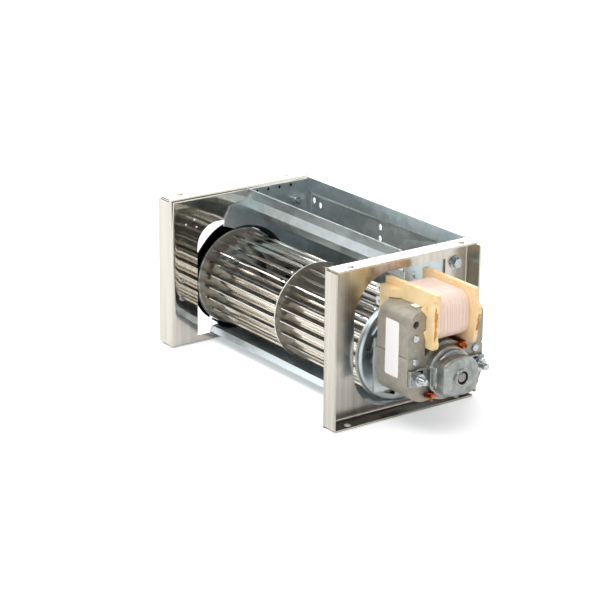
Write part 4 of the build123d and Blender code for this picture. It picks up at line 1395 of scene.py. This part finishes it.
@dataclass
class Motor:
    """Shaded-pole motor outside the right-hand plate."""

    half_width: float = 27.5
    label_middle: Span = (109.75, 52.7)
    label_size: Span = (12.1, 33.5)
    label_lift: float = 0.06
    label_corner: float = 1.2
    nut_face: float = 129.7
    tail: float = 5.0
    bolt_offset: float = 22.4
    bolt_radius: float = 2.0
    thread_pitch: float = 0.7
    thread_depth: float = 0.35
    thread_crest: Span = (0.25, 0.42)
    tab_size: tuple[float, float, float] = (5.6, 3.4, 0.5)
    tab_place: tuple[float, float, float] = (116.6, -16.9, 39.7)
    tab_turn: float = -8.0
    strands: int = 9
    body: str = "housing"

    def label(self) -> None:
        """Lay the blank white label flat on the stack's near side face."""
        mesh = bmesh.new()
        bmesh.ops.create_grid(mesh, x_segments=1, y_segments=1, size=0.5)
        face = AXIS.y - self.half_width - self.label_lift
        for vertex in mesh.verts:
            x = self.label_middle[0] + vertex.co.x * self.label_size[0]
            z = self.label_middle[1] + vertex.co.y * self.label_size[1]
            vertex.co = Vector((x, face, z)) * MM
        bmesh.ops.bevel(
            mesh, geom=mesh.verts[:], offset=self.label_corner * MM, segments=4, profile=0.5,
            affect="VERTICES", material=-1,
        )
        bmesh.ops.recalc_face_normals(mesh, faces=mesh.faces[:])
        if mesh.faces[:][0].normal.y > 0:
            bmesh.ops.reverse_faces(mesh, faces=mesh.faces[:])
        finished(mesh, "blank_label", LABEL_FILM, self.body)

    def threaded_bolts(self) -> None:
        """Give the tie bolts front tails with thread grooves, in place of the plain ends."""
        mesh = merged("tie_bolts")
        geometry = mesh.verts[:] + mesh.edges[:] + mesh.faces[:]
        bmesh.ops.bisect_plane(
            mesh, geom=geometry, dist=1e-7, plane_co=(self.nut_face * MM, 0, 0), plane_no=(1, 0, 0),
            clear_outer=True,
        )
        root = self.bolt_radius - self.thread_depth
        end = self.nut_face + self.tail
        points = [(self.nut_face - 0.4, root)]
        for turn in range(round(self.tail / self.thread_pitch)):
            start = self.nut_face + turn * self.thread_pitch
            points.append((start, root))
            points += [(start + crest, self.bolt_radius) for crest in self.thread_crest]
        points += [(end, self.bolt_radius - 0.5), (end, 0.0)]
        for side in (-1, 1):
            turned(mesh, tuple(points), side * self.bolt_offset, 28)
        bmesh.ops.remove_doubles(mesh, verts=mesh.verts, dist=WELD)
        bmesh.ops.recalc_face_normals(mesh, faces=mesh.faces[:])
        piece = finished(mesh, "tie_bolts_threaded", ZINC_PLATE, self.body)
        soften(piece, 40)
        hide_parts("tie_bolts")

    def leg_tab(self) -> None:
        """Lay the small pale tab on the near leg, against the bobbin."""
        mesh = bmesh.new()
        size = Matrix.Diagonal((*(length * MM for length in self.tab_size), 1.0))
        turn = Matrix.Rotation(math.radians(self.tab_turn), 4, "Z")
        place = Matrix.Translation(placed(*self.tab_place))
        bmesh.ops.create_cube(mesh, size=1.0, matrix=place @ turn @ size)
        soften(finished(mesh, "leg_tab", LABEL_FILM, self.body), 32, 0.2)

    def copper_joint(self, name: str, middle: tuple[float, float, float], seed: int) -> None:
        """Tangle short copper strands, brazed together where a shading ring is closed.

        Args:
            name: the piece's name.
            middle: its middle, as x and as y and z from the axis.
            seed: start of its own random numbers.
        """
        pick = random.Random(seed)
        mesh = bmesh.new()
        for _ in range(self.strands):
            loop = pick.uniform(1.1, 2.1) * MM
            wire = pick.uniform(0.42, 0.62) * MM
            start = Matrix.Translation((loop, 0, 0)) @ Matrix.Rotation(math.pi / 2, 4, "X")
            ring = bmesh.ops.create_circle(
                mesh, cap_ends=False, segments=10, radius=wire, matrix=start
            )["verts"]
            edges = list({edge for vertex in ring for edge in vertex.link_edges})
            before = set(mesh.verts)
            bmesh.ops.spin(
                mesh, geom=ring + edges, cent=(0, 0, 0), axis=(0, 0, 1), angle=pick.uniform(2.4, 5.2),
                steps=14, use_merge=False,
            )
            strand = ring + [vertex for vertex in mesh.verts if vertex not in before]
            turn = Matrix.Rotation(pick.uniform(0, math.tau), 3, Vector((pick.random(), pick.random(), 0.4)))
            bmesh.ops.rotate(mesh, verts=strand, cent=(0, 0, 0), matrix=turn)
            shift = Vector((pick.uniform(-0.5, 0.7), pick.uniform(-1.7, 1.7), pick.uniform(-1.5, 1.5))) * MM
            bmesh.ops.translate(mesh, verts=strand, vec=placed(*middle) + shift)
        bmesh.ops.recalc_face_normals(mesh, faces=mesh.faces[:])
        soften(finished(mesh, name, COPPER, self.body), 60)

    def build(self) -> None:
        """Dress the stack, coil, brackets and fasteners."""
        for node in ("stator_lower", "stator_upper"):
            refined(node, STAMPINGS, self.body, bevel=0.3)
        Bobbin().build()
        Winding().build()
        dress("coil_terminals", ZINC_PLATE)
        refined("shading_rings", COPPER, self.body, bevel=0.4)
        refined("stack_rivets", ZINC_PLATE, self.body)
        FrontBracket().build()
        refined("bearing_bracket_rear", ZINC_CAST, self.body, bevel=0.4)
        self.leg_tab()
        for node in ("motor_bush_front", "motor_bush_rear"):
            dress(node, BRONZE)
        dress("bush_retainers", ZINC_PLATE)
        self.threaded_bolts()
        refined("tie_nuts", ZINC_PLATE, self.body, bevel=0.3)
        self.label()
        self.copper_joint("copper_joint_lower", (126.3, -12.6, -12.9), 3)
        self.copper_joint("copper_joint_upper", (126.5, 9.2, 13.2), 8)
        LOG.info("motor built")


@dataclass(frozen=True)
class Softbox:
    """Rectangular softbox that faces the fan, with its place and size in degrees as seen from the fan."""

    name: str
    azimuth: float
    elevation: float
    wide: float
    high: float
    glow: float

    def hang(self, distance: float, aim_height: float) -> None:
        """Hang the softbox.

        Args:
            distance: how far it hangs from the point that it faces, in metres.
            aim_height: height of that point above the base, in metres.
        """
        data = bpy.data.lights.new(self.name, "AREA")
        data.shape = "RECTANGLE"
        data.size = 2 * distance * math.tan(math.radians(self.wide / 2))
        data.size_y = 2 * distance * math.tan(math.radians(self.high / 2))
        data.energy = FACE_WATTS * self.glow * data.size * data.size_y
        lamp = bpy.data.objects.new(self.name, data)
        bpy.context.scene.collection.objects.link(lamp)
        around, up = math.radians(self.azimuth), math.radians(self.elevation)
        way = Vector((math.cos(up) * math.cos(around), math.cos(up) * math.sin(around), math.sin(up)))
        lamp.location = way * distance + Vector((0, 0, aim_height))
        lamp.rotation_euler = way.to_track_quat("Z", "Y").to_euler()


@dataclass
class Studio:
    """Camera, floor, lamps and surround of the product photograph.

    A glow is the brightness of a lamp's face or of a part of the surround, where 1 is white.
    """

    eye: tuple[float, float, float] = (1023.88, -759.82, 482.78)
    back: tuple[float, float, float] = (0.76351, -0.55805, 0.32501)
    roll: float = 0.636
    lens: float = 132.5
    lamp_distance: float = 1.6
    aim_height: float = 0.05
    bright_azimuth: float = 105.0
    rear_glow: float = 1.1
    horizon_glow: float = 1.4
    ceiling_glow: float = 0.9
    dark_glow: float = 0.16
    paper_half: float = 6.0
    paper_drop: float = 0.0002
    paper_lift: float = 0.38
    paper_least: float = 0.02
    softboxes: tuple[Softbox, ...] = (
        Softbox("strip_softbox", -148.0, 32.5, 24.0, 10.0, 2.5),
        Softbox("key_softbox", -110.0, 62.0, 46.0, 34.0, 2.4),
        Softbox("rear_softbox", 138.0, 24.0, 46.0, 26.0, 1.6),
        Softbox("front_softbox", -42.0, 50.0, 34.0, 24.0, 2.4),
    )

    def camera(self) -> None:
        """Place the camera at the photograph's viewpoint."""
        data = bpy.data.cameras.new("studio_camera")
        data.lens = self.lens
        data.sensor_width = 36.0
        data.dof.use_dof = False
        data.clip_start = 0.05
        data.clip_end = 50.0
        camera = bpy.data.objects.new("studio_camera", data)
        bpy.context.scene.collection.objects.link(camera)
        back = Vector(self.back).normalized()
        right = Vector((0, 0, 1)).cross(back).normalized()
        up = back.cross(right)
        turn = math.radians(self.roll)
        tilted_right = right * math.cos(turn) + up * math.sin(turn)
        tilted_up = up * math.cos(turn) - right * math.sin(turn)
        axes = Matrix((tilted_right, tilted_up, back)).transposed()
        camera.matrix_world = Matrix.Translation(Vector(self.eye) * MM) @ axes.to_4x4()
        bpy.context.scene.camera = camera

    def floor(self) -> None:
        """Lay the white paper, which shows as pure white and keeps the soft shadow."""
        mesh = bmesh.new()
        bmesh.ops.create_grid(mesh, x_segments=1, y_segments=1, size=self.paper_half)
        bmesh.ops.translate(mesh, verts=mesh.verts, vec=(0, 0, -self.paper_drop))
        data = bpy.data.meshes.new("paper_floor")
        mesh.to_mesh(data)
        mesh.free()
        paper = bpy.data.materials.new("white_paper")
        paper.use_nodes = True
        tree = paper.node_tree
        tree.nodes.clear()
        plain = add_node(tree, "ShaderNodeBsdfDiffuse", inputs={"Color": linear("#F2F2F2")})
        ray = add_node(tree, "ShaderNodeLightPath")
        more = add_node(
            tree, "ShaderNodeMath",
            settings={"operation": "MULTIPLY_ADD"},
            inputs={0: ray.outputs["Is Camera Ray"], 1: self.paper_lift, 2: self.paper_least},
        )
        lift = add_node(
            tree, "ShaderNodeEmission", inputs={"Color": linear("#F8FBFF"), "Strength": more.outputs[0]}
        )
        seen = add_node(tree, "ShaderNodeAddShader", inputs={0: plain.outputs[0], 1: lift.outputs[0]})
        either = add_node(
            tree, "ShaderNodeMath",
            settings={"operation": "MAXIMUM"},
            inputs={0: ray.outputs["Is Camera Ray"], 1: ray.outputs["Is Glossy Ray"]},
        )
        mix = add_node(
            tree, "ShaderNodeMixShader",
            inputs={0: either.outputs[0], 1: plain.outputs[0], 2: seen.outputs[0]},
        )
        add_node(tree, "ShaderNodeOutputMaterial", inputs={"Surface": mix.outputs[0]})
        data.materials.append(paper)
        floor = bpy.data.objects.new("paper_floor", data)
        bpy.context.scene.collection.objects.link(floor)

    def surround(self) -> None:
        """Put a room round the fan: bright behind it, dark behind the camera, with a pale band low down."""
        world = bpy.data.worlds.new("studio_surround")
        bpy.context.scene.world = world
        world.use_nodes = True
        tree = world.node_tree
        tree.nodes.clear()
        way = add_node(tree, "ShaderNodeTexCoord")
        around = math.radians(self.bright_azimuth)
        rear = add_node(
            tree, "ShaderNodeVectorMath",
            settings={"operation": "DOT_PRODUCT"},
            inputs={0: way.outputs["Generated"], 1: (math.cos(around), math.sin(around), 0.15)},
        )
        height = add_node(tree, "ShaderNodeSeparateXYZ", inputs={"Vector": way.outputs["Generated"]})
        parts = (
            (rear.outputs["Value"], 0.36, 0.62, self.rear_glow),
            (height.outputs["Z"], 0.24, 0.18, self.horizon_glow),
            (height.outputs["Z"], 0.74, 0.86, self.ceiling_glow),
        )
        brightest = None
        for value, dark_at, bright_at, glow in parts:
            step = add_node(
                tree, "ShaderNodeMapRange",
                settings={"interpolation_type": "SMOOTHSTEP"},
                inputs={
                    "Value": value, "From Min": dark_at, "From Max": bright_at,
                    "To Max": glow - self.dark_glow,
                },
            )
            lit = step.outputs["Result"]
            if brightest:
                joined = add_node(
                    tree, "ShaderNodeMath", settings={"operation": "MAXIMUM"}, inputs={0: brightest, 1: lit}
                )
                lit = joined.outputs[0]
            brightest = lit
        strength = add_node(
            tree, "ShaderNodeMath", settings={"operation": "ADD"}, inputs={0: brightest, 1: self.dark_glow}
        )
        room = add_node(
            tree, "ShaderNodeBackground", inputs={"Color": linear("#FFFDF9"), "Strength": strength.outputs[0]}
        )
        white = add_node(tree, "ShaderNodeBackground", inputs={"Color": linear("#FFFFFF"), "Strength": 1.0})
        ray = add_node(tree, "ShaderNodeLightPath")
        mix = add_node(
            tree, "ShaderNodeMixShader",
            inputs={0: ray.outputs["Is Camera Ray"], 1: room.outputs[0], 2: white.outputs[0]},
        )
        add_node(tree, "ShaderNodeOutputWorld", inputs={"Surface": mix.outputs[0]})

    def build(self) -> None:
        """Set up the whole studio."""
        self.camera()
        self.floor()
        self.surround()
        for softbox in self.softboxes:
            softbox.hang(self.lamp_distance, self.aim_height)
        bpy.context.scene.view_settings.view_transform = "Standard"
        LOG.info("studio built")


def main() -> None:
    """Build the studio and the fan's sub-assemblies in order."""
    logging.basicConfig(level=logging.INFO, format="%(name)s: %(message)s")
    Studio().build()
    Casing().build()
    Impeller().build()
    Motor().build()


if __name__ == "__main__":
    main()
